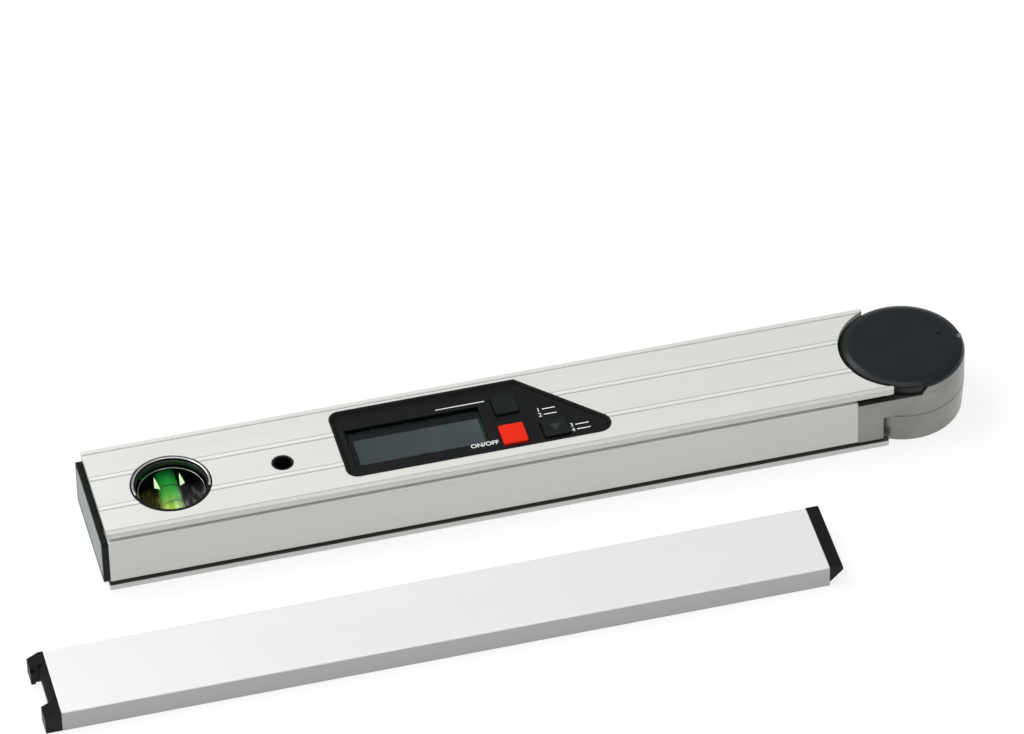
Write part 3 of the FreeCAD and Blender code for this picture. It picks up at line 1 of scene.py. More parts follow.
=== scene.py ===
import json
import math

import bpy
import numpy as np
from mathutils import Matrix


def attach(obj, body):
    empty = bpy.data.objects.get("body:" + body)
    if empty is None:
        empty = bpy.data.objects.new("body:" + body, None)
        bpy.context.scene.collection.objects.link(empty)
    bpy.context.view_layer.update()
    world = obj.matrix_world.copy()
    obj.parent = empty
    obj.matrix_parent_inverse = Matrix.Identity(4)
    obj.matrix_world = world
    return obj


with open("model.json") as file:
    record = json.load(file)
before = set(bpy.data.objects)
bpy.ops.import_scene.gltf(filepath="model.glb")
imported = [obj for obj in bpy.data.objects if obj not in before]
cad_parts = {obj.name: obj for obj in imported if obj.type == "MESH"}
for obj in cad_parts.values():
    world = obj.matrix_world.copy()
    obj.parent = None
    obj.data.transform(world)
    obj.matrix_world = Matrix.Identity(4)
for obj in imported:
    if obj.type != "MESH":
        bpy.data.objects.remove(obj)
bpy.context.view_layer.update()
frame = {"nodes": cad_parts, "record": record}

MM = 0.001


class Box:
    """The box round a CAD node, in millimetres to a hundredth: its low corner, high corner and middle. The
    frame's origin is on the hinge axis, in the underside of the tool."""

    def __init__(self, node):
        mesh = frame["nodes"][node].data
        points = np.empty(len(mesh.vertices) * 3)
        mesh.vertices.foreach_get("co", points)
        points = points.reshape(-1, 3) / MM
        self.low = points.min(0).round(2)
        self.high = points.max(0).round(2)
        self.middle = (self.low + self.high) / 2


LEG = Box("base_profile")
ARM = Box("arm_profile")
EXTENSION = Box("extension_profile")
COVER = Box("hub_cover")
BEZEL = Box("display_housing")
DISPLAY = Box("lcd_panel")
MODE_KEY = Box("mode_button")
LEVEL_CUP = Box("vial_housing")
LEVEL_BLOCK = Box("vial_block")
LEVEL_TUBE = Box("vial_tube")
LEVEL_DYE = Box("vial_liquid")
EDGE_TUBE = Box("edge_vial_tube")

DISH_DEPTH = 1.8
DISH_FLOOR = BEZEL.high[2] - DISH_DEPTH
LEVEL_X, LEVEL_Y = LEVEL_BLOCK.middle[:2]


# ---------------------------------------------------------------- finishes

# Rays that the renderer spends on rounding off an edge.
EDGE_RAYS = 4


def shade(red, green, blue):
    """A screen colour given as 0 to 255 per channel, as linear light with full cover."""
    screen = np.array([red, green, blue]) / 255
    linear = np.where(screen <= 0.04045, screen / 12.92, ((screen + 0.055) / 1.055) ** 2.4)
    return (*(float(channel) for channel in linear), 1.0)


def colour(tone):
    """A tone as a node takes it: a pattern stays as it is, and three screen values become linear light."""
    return tone if isinstance(tone, bpy.types.NodeSocket) else shade(*tone)


class Finish:
    """A material: one Principled surface, fed by patterns that lie in Object coordinates, in metres. A tone
    is three screen values or a pattern of colour."""

    def __init__(self, name, **sockets):
        self.material = bpy.data.materials.new(name)
        self.material.use_nodes = True
        self.nodes = self.material.node_tree.nodes
        self.links = self.material.node_tree.links
        self.surface = self.nodes["Principled BSDF"]
        self.place = self.nodes.new("ShaderNodeTexCoord").outputs["Object"]
        for socket, value in sockets.items():
            label = socket.replace("_", " ").title().replace("Ior", "IOR")
            self.surface.inputs[label].default_value = value

    def node(self, kind, inputs=(), **settings):
        """A node of that kind with its settings, and its inputs linked or set in order."""
        made = self.nodes.new("ShaderNode" + kind)
        for setting, value in settings.items():
            setattr(made, setting, value)
        for key, value in dict(inputs).items():
            if isinstance(value, bpy.types.NodeSocket):
                self.links.new(value, made.inputs[key])
            else:
                made.inputs[key].default_value = value
        return made

    def joined(self, operation, first, second):
        """Two patterns or numbers under one sum, product, comparison or other operation."""
        return self.node("Math", {0: first, 1: second}, operation=operation).outputs[0]

    def between(self, pattern, low, high, start=0.3, end=0.7):
        """A number that goes from low to high as the pattern goes from start to end."""
        return self.node("MapRange", {0: pattern, 1: start, 2: end, 3: low, 4: high}).outputs[0]

    def stretched(self, scale, shift=(0, 0, 0)):
        """Object coordinates, moved and then multiplied along each axis."""
        moved = self.node("VectorMath", {0: self.place, 1: shift}, operation="ADD").outputs[0]
        return self.node("VectorMath", {0: moved, 1: scale}, operation="MULTIPLY").outputs[0]

    def along(self, axis, start, end):
        """How far a point is from start to end along an axis, 0 to 1, in millimetres."""
        parts = self.node("SeparateXYZ", {0: self.place}).outputs
        return self.node("MapRange", {0: parts["XYZ".index(axis)], 1: start * MM, 2: end * MM}).outputs[0]

    def within(self, axis, start, end):
        """1 between two places along an axis, in millimetres, and 0 outside them."""
        way = self.along(axis, start, end)
        past_start = self.joined("GREATER_THAN", way, 0.0)
        return self.joined("MULTIPLY", past_start, self.joined("LESS_THAN", way, 1.0))

    def from_hinge(self, start, end):
        """How far a point is from one radius round the hinge axis to another, 0 to 1, in millimetres."""
        radius = self.node("VectorMath", {0: self.stretched((1.0, 1.0, 0.0))}, operation="LENGTH")
        return self.between(radius.outputs["Value"], 0.0, 1.0, start * MM, end * MM)

    def clouds(self, cells, detail=3.0, rough=0.5, place=None):
        """Soft noise, 0 to 1, with that many cells per metre or per unit of place."""
        return self.node("TexNoise", {"Vector": place or self.place, "Scale": cells, "Detail": detail,
                                      "Roughness": rough}).outputs["Fac"]

    def lines(self, cells, detail=3.0):
        """Soft noise drawn out into lines, with its own number of cells per metre along each axis."""
        return self.clouds(1.0, detail, 0.6, self.stretched(cells))

    def pores(self, cells):
        """Distance from scattered points, 0 at each point, with that many points per metre."""
        return self.node("TexVoronoi", {"Vector": self.place, "Scale": cells}).outputs["Distance"]

    def mixed(self, share, first, second):
        """Two tones in the share that a pattern gives."""
        return self.node("Mix", {0: share, 6: colour(first), 7: colour(second)}, data_type="RGBA").outputs[2]

    def steps(self, pattern, stops, sharp=False):
        """A tone read from stops of (place, tone) along a pattern."""
        ramp = self.node("ValToRGB", {0: pattern})
        ramp.color_ramp.interpolation = "CONSTANT" if sharp else "LINEAR"
        points = ramp.color_ramp.elements
        while len(points) < len(stops):
            points.new(1.0)
        for point, (place, tone) in zip(points, stops):
            point.position = place
            point.color = colour(tone)
        return ramp.outputs[0]

    def feed(self, socket, source):
        """Links a pattern to a socket of the surface."""
        self.links.new(source, self.surface.inputs[socket])

    def fed(self, socket):
        """The pattern that a socket of the surface has now."""
        return self.surface.inputs[socket].links[0].from_socket

    def relief(self, pattern, depth, strength=0.5, edge=0.0):
        """Bump whose full height is depth, in millimetres, over corners that catch the light as if rounded
        by edge, in millimetres."""
        bump = self.node("Bump", {"Height": pattern, "Distance": depth * MM, "Strength": strength})
        if edge:
            rounding = self.node("Bevel", {"Radius": edge * MM}, samples=EDGE_RAYS)
            self.links.new(rounding.outputs["Normal"], bump.inputs["Normal"])
        self.feed("Normal", bump.outputs["Normal"])
        return self


def drawn_aluminium(name, tones, marks=(), edge=0.45):
    """Clear-anodised extrusion: satin metal with fine drawing lines along the profile and faint clouds.
    Each mark gives its range across Y, its range up Z and the tone painted there."""
    finish = Finish(name, metallic=0.3)
    lines = finish.lines((5.0, 1500.0, 1500.0), detail=4.0)
    clouds = finish.clouds(18.0, detail=4.0)
    share = finish.joined("MULTIPLY", finish.between(lines, 0.2, 1.0), finish.between(clouds, 0.8, 1.0))
    metal = finish.mixed(share, *tones)
    for across, up, tone in marks:
        there = finish.joined("MULTIPLY", finish.within("Y", *across), finish.within("Z", *up))
        metal = finish.mixed(there, metal, tone)
    rough = finish.joined("ADD", finish.between(lines, 0.27, 0.35), finish.between(clouds, 0.0, 0.05))
    finish.feed("Base Color", metal)
    finish.feed("Roughness", rough)
    return finish.relief(lines, 0.003, edge=edge)


def blasted_casting(name="blasted_casting", shaded_heights=None):
    """Die-cast metal, blasted: warm grey, with a fine grain and darker patches where the metal cooled
    first. The face between two given heights is painted dark, as shade of the gap under the hub cover."""
    finish = Finish(name, metallic=0.6)
    grain = finish.clouds(2600.0, detail=4.0, rough=0.65)
    patches = finish.clouds(55.0)
    share = finish.joined("ADD", finish.between(patches, 0.0, 0.65), finish.between(grain, 0.0, 0.35))
    metal = finish.mixed(share, (133, 132, 128), (156, 155, 151))
    if shaded_heights:
        # Painted shade: this face sits in the gap under the hub cover's edge.
        metal = finish.mixed(finish.within("Z", *shaded_heights), metal, (86, 84, 80))
    finish.feed("Base Color", metal)
    finish.feed("Roughness", finish.between(grain, 0.26, 0.38))
    return finish.relief(grain, 0.02, edge=0.5)


def moulded(name, dark, light, rough, grain_depth, cells=2200.0, edge=0.25, **sockets):
    """Moulded plastic or rubber: a spark-eroded grain, as deep as given in millimetres, between the dark and
    the light tone, and faint flow marks in its colour and gloss."""
    finish = Finish(name, **sockets)
    grain = finish.pores(cells)
    flow = finish.clouds(70.0, detail=2.0)
    share = finish.joined("ADD", finish.between(flow, 0.0, 0.6), finish.between(grain, 0.4, 0.0, 0.0, 0.6))
    finish.feed("Base Color", finish.mixed(share, dark, light))
    finish.feed("Roughness", finish.between(flow, *rough))
    return finish.relief(grain, grain_depth, edge=edge)


def hub_plastic():
    """Cover of the hinge: satin on its top, with a matte band round the lowest part of its shoulder, on the
    side of the legs, painted dark as shade that the leg beside it casts."""
    finish = moulded("hub_plastic", (22, 27, 30), (28, 33, 36), (0.24, 0.32), 0.008, 3000.0,
                     specular_ior_level=0.3)
    radius = -COVER.low[0]
    shoulder = finish.from_hinge(radius - 1.8, radius - 1.1)
    legs_side = finish.along("X", -4.0, -14.0)
    band = finish.joined("MULTIPLY", shoulder, legs_side)
    matte = finish.joined("MULTIPLY", band, 0.75)
    # Painted shade: the band's dark colour stands for the leg's shade on the shoulder.
    finish.feed("Base Color", finish.mixed(band, finish.fed("Base Color"), (7, 9, 11)))
    finish.feed("Roughness", finish.joined("MAXIMUM", finish.fed("Roughness"), matte))
    return finish


def blank_display():
    """Switched-off liquid crystal: a dark cell with a painted sheen, a little lighter towards the keys and
    the rear, a darker border, whose wide rear part is partly painted shadow of the recess's rear wall, and
    the faint grain of the reflector behind it."""
    finish = Finish("blank_display", roughness=0.35, specular_ior_level=0.1)
    low, high = DISPLAY.low, DISPLAY.high
    far_border, key_border, near_border, rear_border = 2.1, 0.4, 0.4, 5.2
    to_keys = finish.joined("MULTIPLY", finish.along("X", low[0] - 1.0, high[0] + 1.0), 0.7)
    to_rear = finish.joined("MULTIPLY", finish.along("Y", low[1] - 1.0, high[1] + 1.0), 0.3)
    # Painted sheen: the cell turns lighter towards the keys and the rear.
    glow = finish.joined("ADD", to_keys, to_rear)
    grain = finish.clouds(900.0, detail=2.0)
    share = finish.joined("MULTIPLY", glow, finish.between(grain, 0.85, 1.0))
    cell = finish.mixed(share, (72, 78, 81), (86, 92, 95))
    # The border: the cell's own mask, widest at the rear, where it is also painted shadow of the recess's
    # rear wall.
    clear = finish.joined("MULTIPLY", finish.within("X", low[0] + far_border, high[0] - key_border),
                          finish.within("Y", low[1] + near_border, high[1] - rear_border))
    finish.feed("Base Color", finish.mixed(clear, (15, 21, 24), cell))
    return finish.relief(grain, 0.002, 0.3)


def clear_window():
    """Display cover: clear, a little smoked, with the faint ripple of a moulded sheet."""
    finish = Finish("clear_window", transmission_weight=1.0, ior=1.2)
    ripple = finish.clouds(60.0, detail=2.0)
    finish.feed("Base Color", finish.mixed(ripple, (232, 236, 237), (242, 245, 245)))
    finish.feed("Roughness", finish.between(ripple, 0.03, 0.07))
    return finish.relief(ripple, 0.004, 0.3)


def clear_acrylic(name="clear_acrylic"):
    """Acrylic of the levels: clear with a breath of green, and faint flow lines. Its index is kept low,
    because tube, liquid and block lie nearly without a gap in the real one."""
    finish = Finish(name, transmission_weight=1.0, ior=1.1)
    flow = finish.clouds(140.0, detail=2.0)
    finish.feed("Base Color", finish.mixed(flow, (232, 244, 236), (246, 250, 247)))
    finish.feed("Roughness", finish.between(flow, 0.01, 0.04))
    return finish.relief(flow, 0.004, 0.3)


def level_block():
    """The level's block: clear acrylic with painted glints, streaks that glow along its lower edges, olive on
    the left of the tube and plain grey on its right, both brighter towards the near edge."""
    finish = clear_acrylic("level_block")
    fan = finish.stretched((1.0, 0.28, 1.0), (-LEVEL_X * MM, -LEVEL_Y * MM, 0.0))
    streaks = finish.between(finish.clouds(420.0, 2.0, 0.4, fan), 0.2, 1.0, 0.48, 0.62)
    near = finish.along("Y", LEVEL_Y + 4.0, LEVEL_Y - 10.0)
    right = finish.joined("GREATER_THAN", finish.along("X", LEVEL_X - 12.0, LEVEL_X + 12.0), 0.5)
    # Painted glints: the streaks are emission, olive where they stand for the dye's light and grey beside it.
    finish.feed("Emission Color", finish.mixed(right, (120, 124, 58), (112, 114, 110)))
    finish.feed("Emission Strength", finish.joined("MULTIPLY", streaks, finish.joined("MULTIPLY", near, 0.7)))
    return finish


def level_liquid(name, axis, start, end, glow=0.42, clear=0.3):
    """Dyed level liquid: deep green, with painted light that turns it yellow-green towards one end of the
    tube, and a soft painted glow in the same colours."""
    finish = Finish(name, transmission_weight=clear, ior=1.12, roughness=0.05, emission_strength=glow)
    drift = finish.between(finish.clouds(260.0), -0.06, 0.06)
    # Painted light: the turn to yellow-green along the tube, which also feeds the painted glow.
    dye = finish.steps(finish.joined("ADD", finish.along(axis, start, end), drift), (
        (0.0, (18, 108, 50)),
        (0.22, (46, 168, 76)),
        (0.5, (96, 186, 92)),
        (0.66, (148, 188, 102)),
        (0.86, (192, 208, 126)),
        (1.0, (232, 240, 170)),
    ))
    finish.feed("Base Color", dye)
    finish.feed("Emission Color", dye)
    return finish


def bubble_air():
    """Air in the level liquid: pale yellow-green, half clear, with a faint cloud and a faint painted glow."""
    finish = Finish("bubble_air", transmission_weight=0.5, ior=1.1, roughness=0.04, emission_strength=0.2)
    tone = finish.mixed(finish.clouds(300.0), (206, 236, 150), (226, 246, 180))
    finish.feed("Base Color", tone)
    finish.feed("Emission Color", tone)
    return finish


def polished(name, dark, light):
    """Polished ring: bright metal with the faint lines of the turning."""
    finish = Finish(name, metallic=0.9)
    lines = finish.lines((500.0, 500.0, 3000.0))
    finish.feed("Base Color", finish.mixed(lines, dark, light))
    finish.feed("Roughness", finish.between(lines, 0.10, 0.16))
    return finish


def machined(name, dark, light, rough):
    """Turned or rolled metal: fine close lines with a bright zinc or bronze tone."""
    finish = Finish(name, metallic=0.95)
    lines = finish.lines((700.0, 700.0, 2600.0))
    finish.feed("Base Color", finish.mixed(lines, dark, light))
    finish.feed("Roughness", finish.between(lines, *rough))
    return finish.relief(lines, 0.004)


def solder_mask():
    """Circuit board: green mask, with paler lines where copper runs under it and small bright pads."""
    finish = Finish("solder_mask", roughness=0.35)
    tracks = finish.node("TexBrick", {"Vector": finish.stretched((90.0, 90.0, 90.0)),
                                      "Color1": shade(24, 92, 52), "Color2": shade(20, 80, 46),
                                      "Mortar": shade(44, 122, 70), "Scale": 2.2, "Mortar Size": 0.05})
    pads = finish.between(finish.pores(420.0), 1.0, 0.0, 0.12, 0.16)
    finish.feed("Base Color", finish.mixed(pads, tracks.outputs[0], (206, 200, 186)))
    return finish.relief(pads, 0.03, 0.6)


def cell_jacket():
    """Jacket of the four size AA cells, which lie two to a row: a pale film with a copper-coloured band
    towards each end of a cell, and bare steel at its ends."""
    finish = Finish("cell_jacket", metallic=0.3)
    row_start, row_end, cells = -281.0, -179.6, 2.0
    along_row = finish.joined("MULTIPLY", finish.along("X", row_start, row_end), cells)
    along_cell = finish.joined("MODULO", along_row, 1.0)
    steel, copper, pale = (178, 176, 170), (196, 140, 66), (226, 226, 220)
    stops = ((0.0, steel), (0.03, copper), (0.22, pale), (0.94, copper), (0.985, steel))
    film = finish.steps(along_cell, stops, sharp=True)
    wear = finish.clouds(220.0)
    finish.feed("Base Color", finish.mixed(finish.between(wear, 0.0, 0.12), film, (120, 116, 108)))
    finish.feed("Roughness", finish.between(wear, 0.22, 0.34))
    return finish


def printing(name, dark, light):
    """Screen-printed ink, also the painted glints: nearly even, with the faint mottle of a printed film."""
    finish = Finish(name, roughness=0.5, specular_ior_level=0.3)
    finish.feed("Base Color", finish.mixed(finish.clouds(1800.0), dark, light))
    return finish


# Marks along the extrusions: their tones, then their places and widths in millimetres. Most tones are painted
# light: painted shade in slots and beside steps, painted highlights on ribs and edges. A mark reaches a
# little past its face, so that the face's own corners are in it.
ANODISED = ((229, 230, 226), (236, 237, 232))
BRIGHT_ANODISED = ((243, 244, 241), (248, 248, 246))
# Painted shade in the foot of the leg's slot, where the arm above shades it.
SLOT_SHADE = (96, 96, 93)
RAIL_TONE = (216, 217, 213)
# Painted shade beside the panel steps, and painted highlight on the ribs.
PANEL_LINE_SHADE = (176, 176, 173)
RIB_HIGHLIGHT = (243, 244, 240)
# Painted highlight on the arm's upper edge.
ARM_EDGE_HIGHLIGHT = (250, 250, 247)
# Painted shade on the extension's front face.
EXTENSION_FRONT_SHADE = (204, 205, 202)
SLOT_FOOT = (3.1, 5.0)
SLOT_DEPTH = 10.5
RAIL = 2.8
RIBS = (10.0, -11.4)
RIB_HALF = 1.1
PANEL_LINE = 0.6


def leg_aluminium():
    """The thick leg's extrusion: painted shade in the foot of the slot that the arm folds into, a duller rail
    along the near edge of the top, a painted shade line along each outer edge of the panels, and two ribs
    as painted highlight stripes between painted shade lines."""
    near, rear, top = LEG.low[1], LEG.high[1], LEG.high[2]
    on_top = (top - 0.6, top + 0.5)
    marks = [((near + 0.2, near + SLOT_DEPTH), SLOT_FOOT, SLOT_SHADE),
             ((near - 0.5, near + RAIL), on_top, RAIL_TONE)]
    # Each rib: painted shade lines on both sides and a painted highlight stripe on top.
    for rib in RIBS:
        dark_half = RIB_HALF + PANEL_LINE
        marks.append(((rib - dark_half, rib + dark_half), on_top, PANEL_LINE_SHADE))
        marks.append(((rib - RIB_HALF, rib + RIB_HALF), on_top, RIB_HIGHLIGHT))
    # Painted shade lines along the panels' outer edges, beside the rails.
    marks.append(((rear - RAIL - PANEL_LINE, rear - RAIL), on_top, PANEL_LINE_SHADE))
    marks.append(((near + RAIL, near + RAIL + PANEL_LINE), on_top, PANEL_LINE_SHADE))
    return drawn_aluminium("leg_aluminium", ANODISED, marks)


def arm_aluminium():
    """The thin arm's extrusion, with a painted highlight along its upper edge."""
    near, rear, top = ARM.low[1], ARM.high[1], ARM.high[2]
    # Painted highlight: the top face and the top 0.6 mm of the sides are painted near white.
    edge_highlight = ((near - 0.5, rear + 0.5), (top - 0.6, top + 0.2), ARM_EDGE_HIGHLIGHT)
    return drawn_aluminium("arm_aluminium", ANODISED, [edge_highlight], edge=1.0)


def extension_aluminium():
    """The loose extension's profile: brighter metal, with painted shade on its front below its upper edge."""
    near, foot, top = EXTENSION.low[1], EXTENSION.low[2], EXTENSION.high[2]
    # Painted shade: the front face, up to 0.6 mm below the top, is darker than the top.
    front = ((near - 0.5, near + 0.2), (foot - 1.0, top - 0.6), EXTENSION_FRONT_SHADE)
    return drawn_aluminium("extension_aluminium", BRIGHT_ANODISED, [front], edge=0.8)


SOFT_GLOSS = {"specular_ior_level": 0.2}
tube_ends = ("Y", LEVEL_TUBE.high[1], LEVEL_TUBE.low[1])
edge_tube_ends = ("X", EDGE_TUBE.high[0], EDGE_TUBE.low[0])
cover_seat = COVER.low[2]

# A moulded finish has its dark and its light tone, its range of roughness, the depth of its grain in
# millimetres and, where its grain is finer, the number of its pores per metre.
slot_finish = {
    "aluminium": drawn_aluminium("drawn_aluminium", ANODISED),
    "die_cast": blasted_casting(),
    "black_plastic": moulded("black_plastic", (9, 12, 15), (15, 19, 22), (0.42, 0.52), 0.02, **SOFT_GLOSS),
    "cover_plastic": moulded("cover_plastic", (31, 36, 39), (37, 42, 45), (0.26, 0.34), 0.008, 3000.0,
                             **SOFT_GLOSS),
    "black_button": moulded("black_button", (17, 21, 23), (24, 28, 31), (0.40, 0.50), 0.01, 3000.0,
                            **SOFT_GLOSS),
    "red_button": moulded("red_button", (222, 38, 14), (229, 46, 20), (0.42, 0.52), 0.008, 3000.0,
                          specular_ior_level=0.12),
    "grey_pad": moulded("grey_pad", (200, 206, 206), (212, 217, 216), (0.65, 0.75), 0.02, **SOFT_GLOSS),
    "clear_window": clear_window(),
    "lcd_panel": blank_display(),
    "rubber": moulded("rubber", (52, 52, 54), (66, 66, 68), (0.65, 0.75), 0.01),
    "circuit_board": solder_mask(),
    "steel": machined("steel", (186, 187, 188), (214, 214, 213), (0.22, 0.34)),
    "bronze": machined("bronze", (172, 132, 74), (196, 156, 96), (0.38, 0.50)),
    "nylon": moulded("nylon", (218, 214, 202), (230, 227, 216), (0.42, 0.50), 0.01),
    "cell_jacket": cell_jacket(),
    "clear_acrylic": clear_acrylic(),
    "green_liquid": level_liquid("level_liquid", *tube_ends),
}
node_finish = {
    "base_profile": leg_aluminium(),
    "arm_profile": arm_aluminium(),
    "extension_profile": extension_aluminium(),
    # The face just under the hub cover's seat is painted dark as shade of the gap.
    "arm_knuckle": blasted_casting("arm_casting", shaded_heights=(cover_seat - 0.2, cover_seat)),
    "hub_cover": hub_plastic(),
    "display_housing": moulded("bezel_plastic", (5, 8, 10), (10, 14, 17), (0.26, 0.34), 0.008, edge=0.5,
                               specular_ior_level=0.3),
    "hanging_bush": moulded("bush_plastic", (16, 18, 20), (24, 27, 29), (0.18, 0.26), 0.006,
                            specular_ior_level=0.6),
    "vial_block": level_block(),
    # The tube's wall takes on the colour of its dye, with a fainter painted glow.
    "vial_tube": level_liquid("tube_glass", *tube_ends, glow=0.16, clear=0.8),
    "edge_vial_liquid": level_liquid("edge_level_liquid", *edge_tube_ends),
}

for row in frame["record"]["subparts"]:
    part = frame["nodes"][row["node"]]
    finish = node_finish.get(row["node"], slot_finish[row["material_slot"]])
    if not part.material_slots:
        part.data.materials.append(finish.material)
    for holder in part.material_slots:
        holder.material = finish.material


# ------------------------------------------------------------- new pieces

INK = 0.05
BUBBLE_ROWS, BUBBLE_COLUMNS = 24, 40
LINE_STEPS = 64
TRIM_STEPS, TRIM_ARC_STEPS, TRIM_SECTION = 96, 72, 16

white_ink = printing("white_ink", (226, 228, 226), (240, 241, 239))
grey_ink = printing("grey_ink", (40, 42, 44), (50, 52, 54))
ring_ink = printing("ring_ink", (14, 30, 16), (22, 40, 22))
# Painted glint: the pale green tone of the plates beside the level tube.
painted_glint = printing("painted_glint", (196, 228, 170), (216, 242, 190))
bright_ring = polished("polished_rim", (214, 216, 216), (232, 233, 232))
dark_ring = polished("dark_rim", (88, 92, 93), (112, 115, 116))


def add(name, mesh, finish, body):
    """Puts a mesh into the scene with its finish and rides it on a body."""
    mesh.name = name
    mesh.materials.clear()
    mesh.materials.append(finish.material)
    mesh.update()
    made = bpy.data.objects.new(name, mesh)
    bpy.context.scene.collection.objects.link(made)
    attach(made, body)
    return made


def piece(name, points, faces, finish, body, smooth=False):
    """A piece from its points, in millimetres, and its faces."""
    mesh = bpy.data.meshes.new(name)
    mesh.from_pydata((np.asarray(points) * MM).tolist(), [], [list(map(int, face)) for face in faces])
    mesh.polygons.foreach_set("use_smooth", [smooth] * len(mesh.polygons))
    return add(name, mesh, finish, body)


def grid_faces(rows, columns, close_rows=False, close_columns=True):
    """Faces of a grid of points, whose rows and columns close on themselves where asked."""
    i, j = np.meshgrid(np.arange(rows if close_rows else rows - 1),
                       np.arange(columns if close_columns else columns - 1), indexing="ij")
    beside, up = (j + 1) % columns, (i + 1) % rows
    corners = [i * columns + j, i * columns + beside, up * columns + beside, up * columns + j]
    return np.stack(corners, -1).reshape(-1, 4)


def lettering(name, words, tall, right, middle, bold=0.0):
    """Characters printed on the dish floor: the filled outlines of a plain typeface, as thick as the ink.
    They are scaled to be `tall` high, and moved so that they end at `right` and are centred on `middle`."""
    text = bpy.data.curves.new(name, "FONT")
    text.body = words
    text.extrude = 0.5
    text.offset = bold
    text.resolution_u = 4
    text.space_line = 0.95
    carrier = bpy.data.objects.new(name + "_carrier", text)
    bpy.context.scene.collection.objects.link(carrier)
    bpy.context.view_layer.update()
    mesh = bpy.data.meshes.new_from_object(carrier)
    bpy.data.objects.remove(carrier)
    points = np.empty(len(mesh.vertices) * 3)
    mesh.vertices.foreach_get("co", points)
    points = points.reshape(-1, 3)
    low, high = points.min(0), points.max(0)
    scale = tall / (high - low)[1]
    points[:, 0] = (points[:, 0] - high[0]) * scale + right
    points[:, 1] = (points[:, 1] - (low[1] + high[1]) / 2) * scale + middle
    points[:, 2] = np.where(points[:, 2] > 0, DISH_FLOOR + INK, DISH_FLOOR - INK / 2)
    mesh.vertices.foreach_set("co", (points * MM).ravel())
    return add(name, mesh, white_ink, "base_leg")


def plate(name, outline, low, high, finish, body):
    """A flat piece: a closed row of points at two heights, with its two faces and the wall between them."""
    outline = np.asarray(outline, float)
    count = len(outline)
    points = np.vstack([np.column_stack([outline, np.full(count, z)]) for z in (low, high)])
    around = np.arange(count)
    beside = (around + 1) % count
    walls = np.column_stack([around, beside, beside + count, around + count])
    return piece(name, points, [around[::-1], around + count, *walls], finish, body)


def printed(name, outline, face, finish, body):
    """A flat mark on the face at that height: the ink stands proud of it, and half as much lies in it."""
    return plate(name, outline, face - INK / 2, face + INK, finish, body)


def stroke(name, start, end, middle, wide):
    """A straight line printed along the leg on the dish floor."""
    low, high = middle - wide / 2, middle + wide / 2
    outline = [(start, low), (end, low), (end, high), (start, high)]
    return printed(name, outline, DISH_FLOOR, white_ink, "base_leg")


def rounded(corners, radius, steps=6):
    """The outline through the corners, each replaced by an arc of that radius that touches both its sides. An
    arc's middle lies on the line that halves its corner, and its points turn evenly about that middle."""
    corners = np.asarray(corners, float)
    before = np.roll(corners, 1, 0) - corners
    after = np.roll(corners, -1, 0) - corners
    before /= np.linalg.norm(before, axis=1)[:, None]
    after /= np.linalg.norm(after, axis=1)[:, None]
    halfway = (before + after) / np.linalg.norm(before + after, axis=1)[:, None]
    half = np.arccos(np.clip((before * after).sum(1), -1, 1)) / 2
    middle = corners + halfway * (radius / np.sin(half))[:, None]
    start = corners + before * (radius / np.tan(half))[:, None] - middle
    end = corners + after * (radius / np.tan(half))[:, None] - middle
    turn = (np.pi - 2 * half)[:, None]
    share = np.linspace(0, 1, steps)[None, :]
    first = np.sin((1 - share) * turn) / np.sin(turn)
    second = np.sin(share * turn) / np.sin(turn)
    arcs = middle[:, None] + start[:, None] * first[..., None] + end[:, None] * second[..., None]
    return arcs.reshape(-1, 2)


def air_bubble(name, centre, half_sizes):
    """Air bubble: an ellipsoid whose points are centre + (a sin u cos v, b cos u, c sin u sin v), where a, b
    and c are its half sizes. Its underside is drawn in to a third, as a bubble lies against the top of its
    tube, and a fan closes each pole."""
    u = np.linspace(0, np.pi, BUBBLE_ROWS + 2)[1:-1, None]
    v = np.linspace(0, 2 * np.pi, BUBBLE_COLUMNS, endpoint=False)[None, :]
    a, b, c = half_sizes
    x = a * np.sin(u) * np.cos(v)
    y = b * np.cos(u) * np.ones_like(v)
    z = c * np.sin(u) * np.sin(v)
    z = np.where(z < 0, z / 3, z)
    poles = np.array([[0, b, 0], [0, -b, 0]])
    points = np.vstack([np.stack([x, y, z], -1).reshape(-1, 3), poles]) + centre
    around = np.arange(BUBBLE_COLUMNS)
    beside = (around + 1) % BUBBLE_COLUMNS
    last_row = (BUBBLE_ROWS - 1) * BUBBLE_COLUMNS
    pole = np.full(BUBBLE_COLUMNS, BUBBLE_ROWS * BUBBLE_COLUMNS)
    faces = [*grid_faces(BUBBLE_ROWS, BUBBLE_COLUMNS), *np.column_stack([pole, beside, around]),
             *np.column_stack([around + last_row, beside + last_row, pole + 1])]
    return piece(name, points, faces, bubble_air(), "base_leg", smooth=True)


def level_line(name, y, wide, thick):
    """Line round the level tube: a rectangle of `wide` by `thick` carried round a circle about its axis."""
    axis = LEVEL_TUBE.middle[2]
    radius = LEVEL_TUBE.high[2] - axis
    turn = np.linspace(0, 2 * np.pi, LINE_STEPS, endpoint=False)[None, :]
    across = np.array([-wide / 2, wide / 2, wide / 2, -wide / 2])[:, None]
    out = np.array([0, 0, thick, thick])[:, None] + radius
    points = np.stack([LEVEL_X + out * np.cos(turn), y + across + 0 * turn, axis + out * np.sin(turn)], -1)
    faces = grid_faces(4, LINE_STEPS, close_rows=True)
    return piece(name, points.reshape(-1, 3), faces, ring_ink, "base_leg")


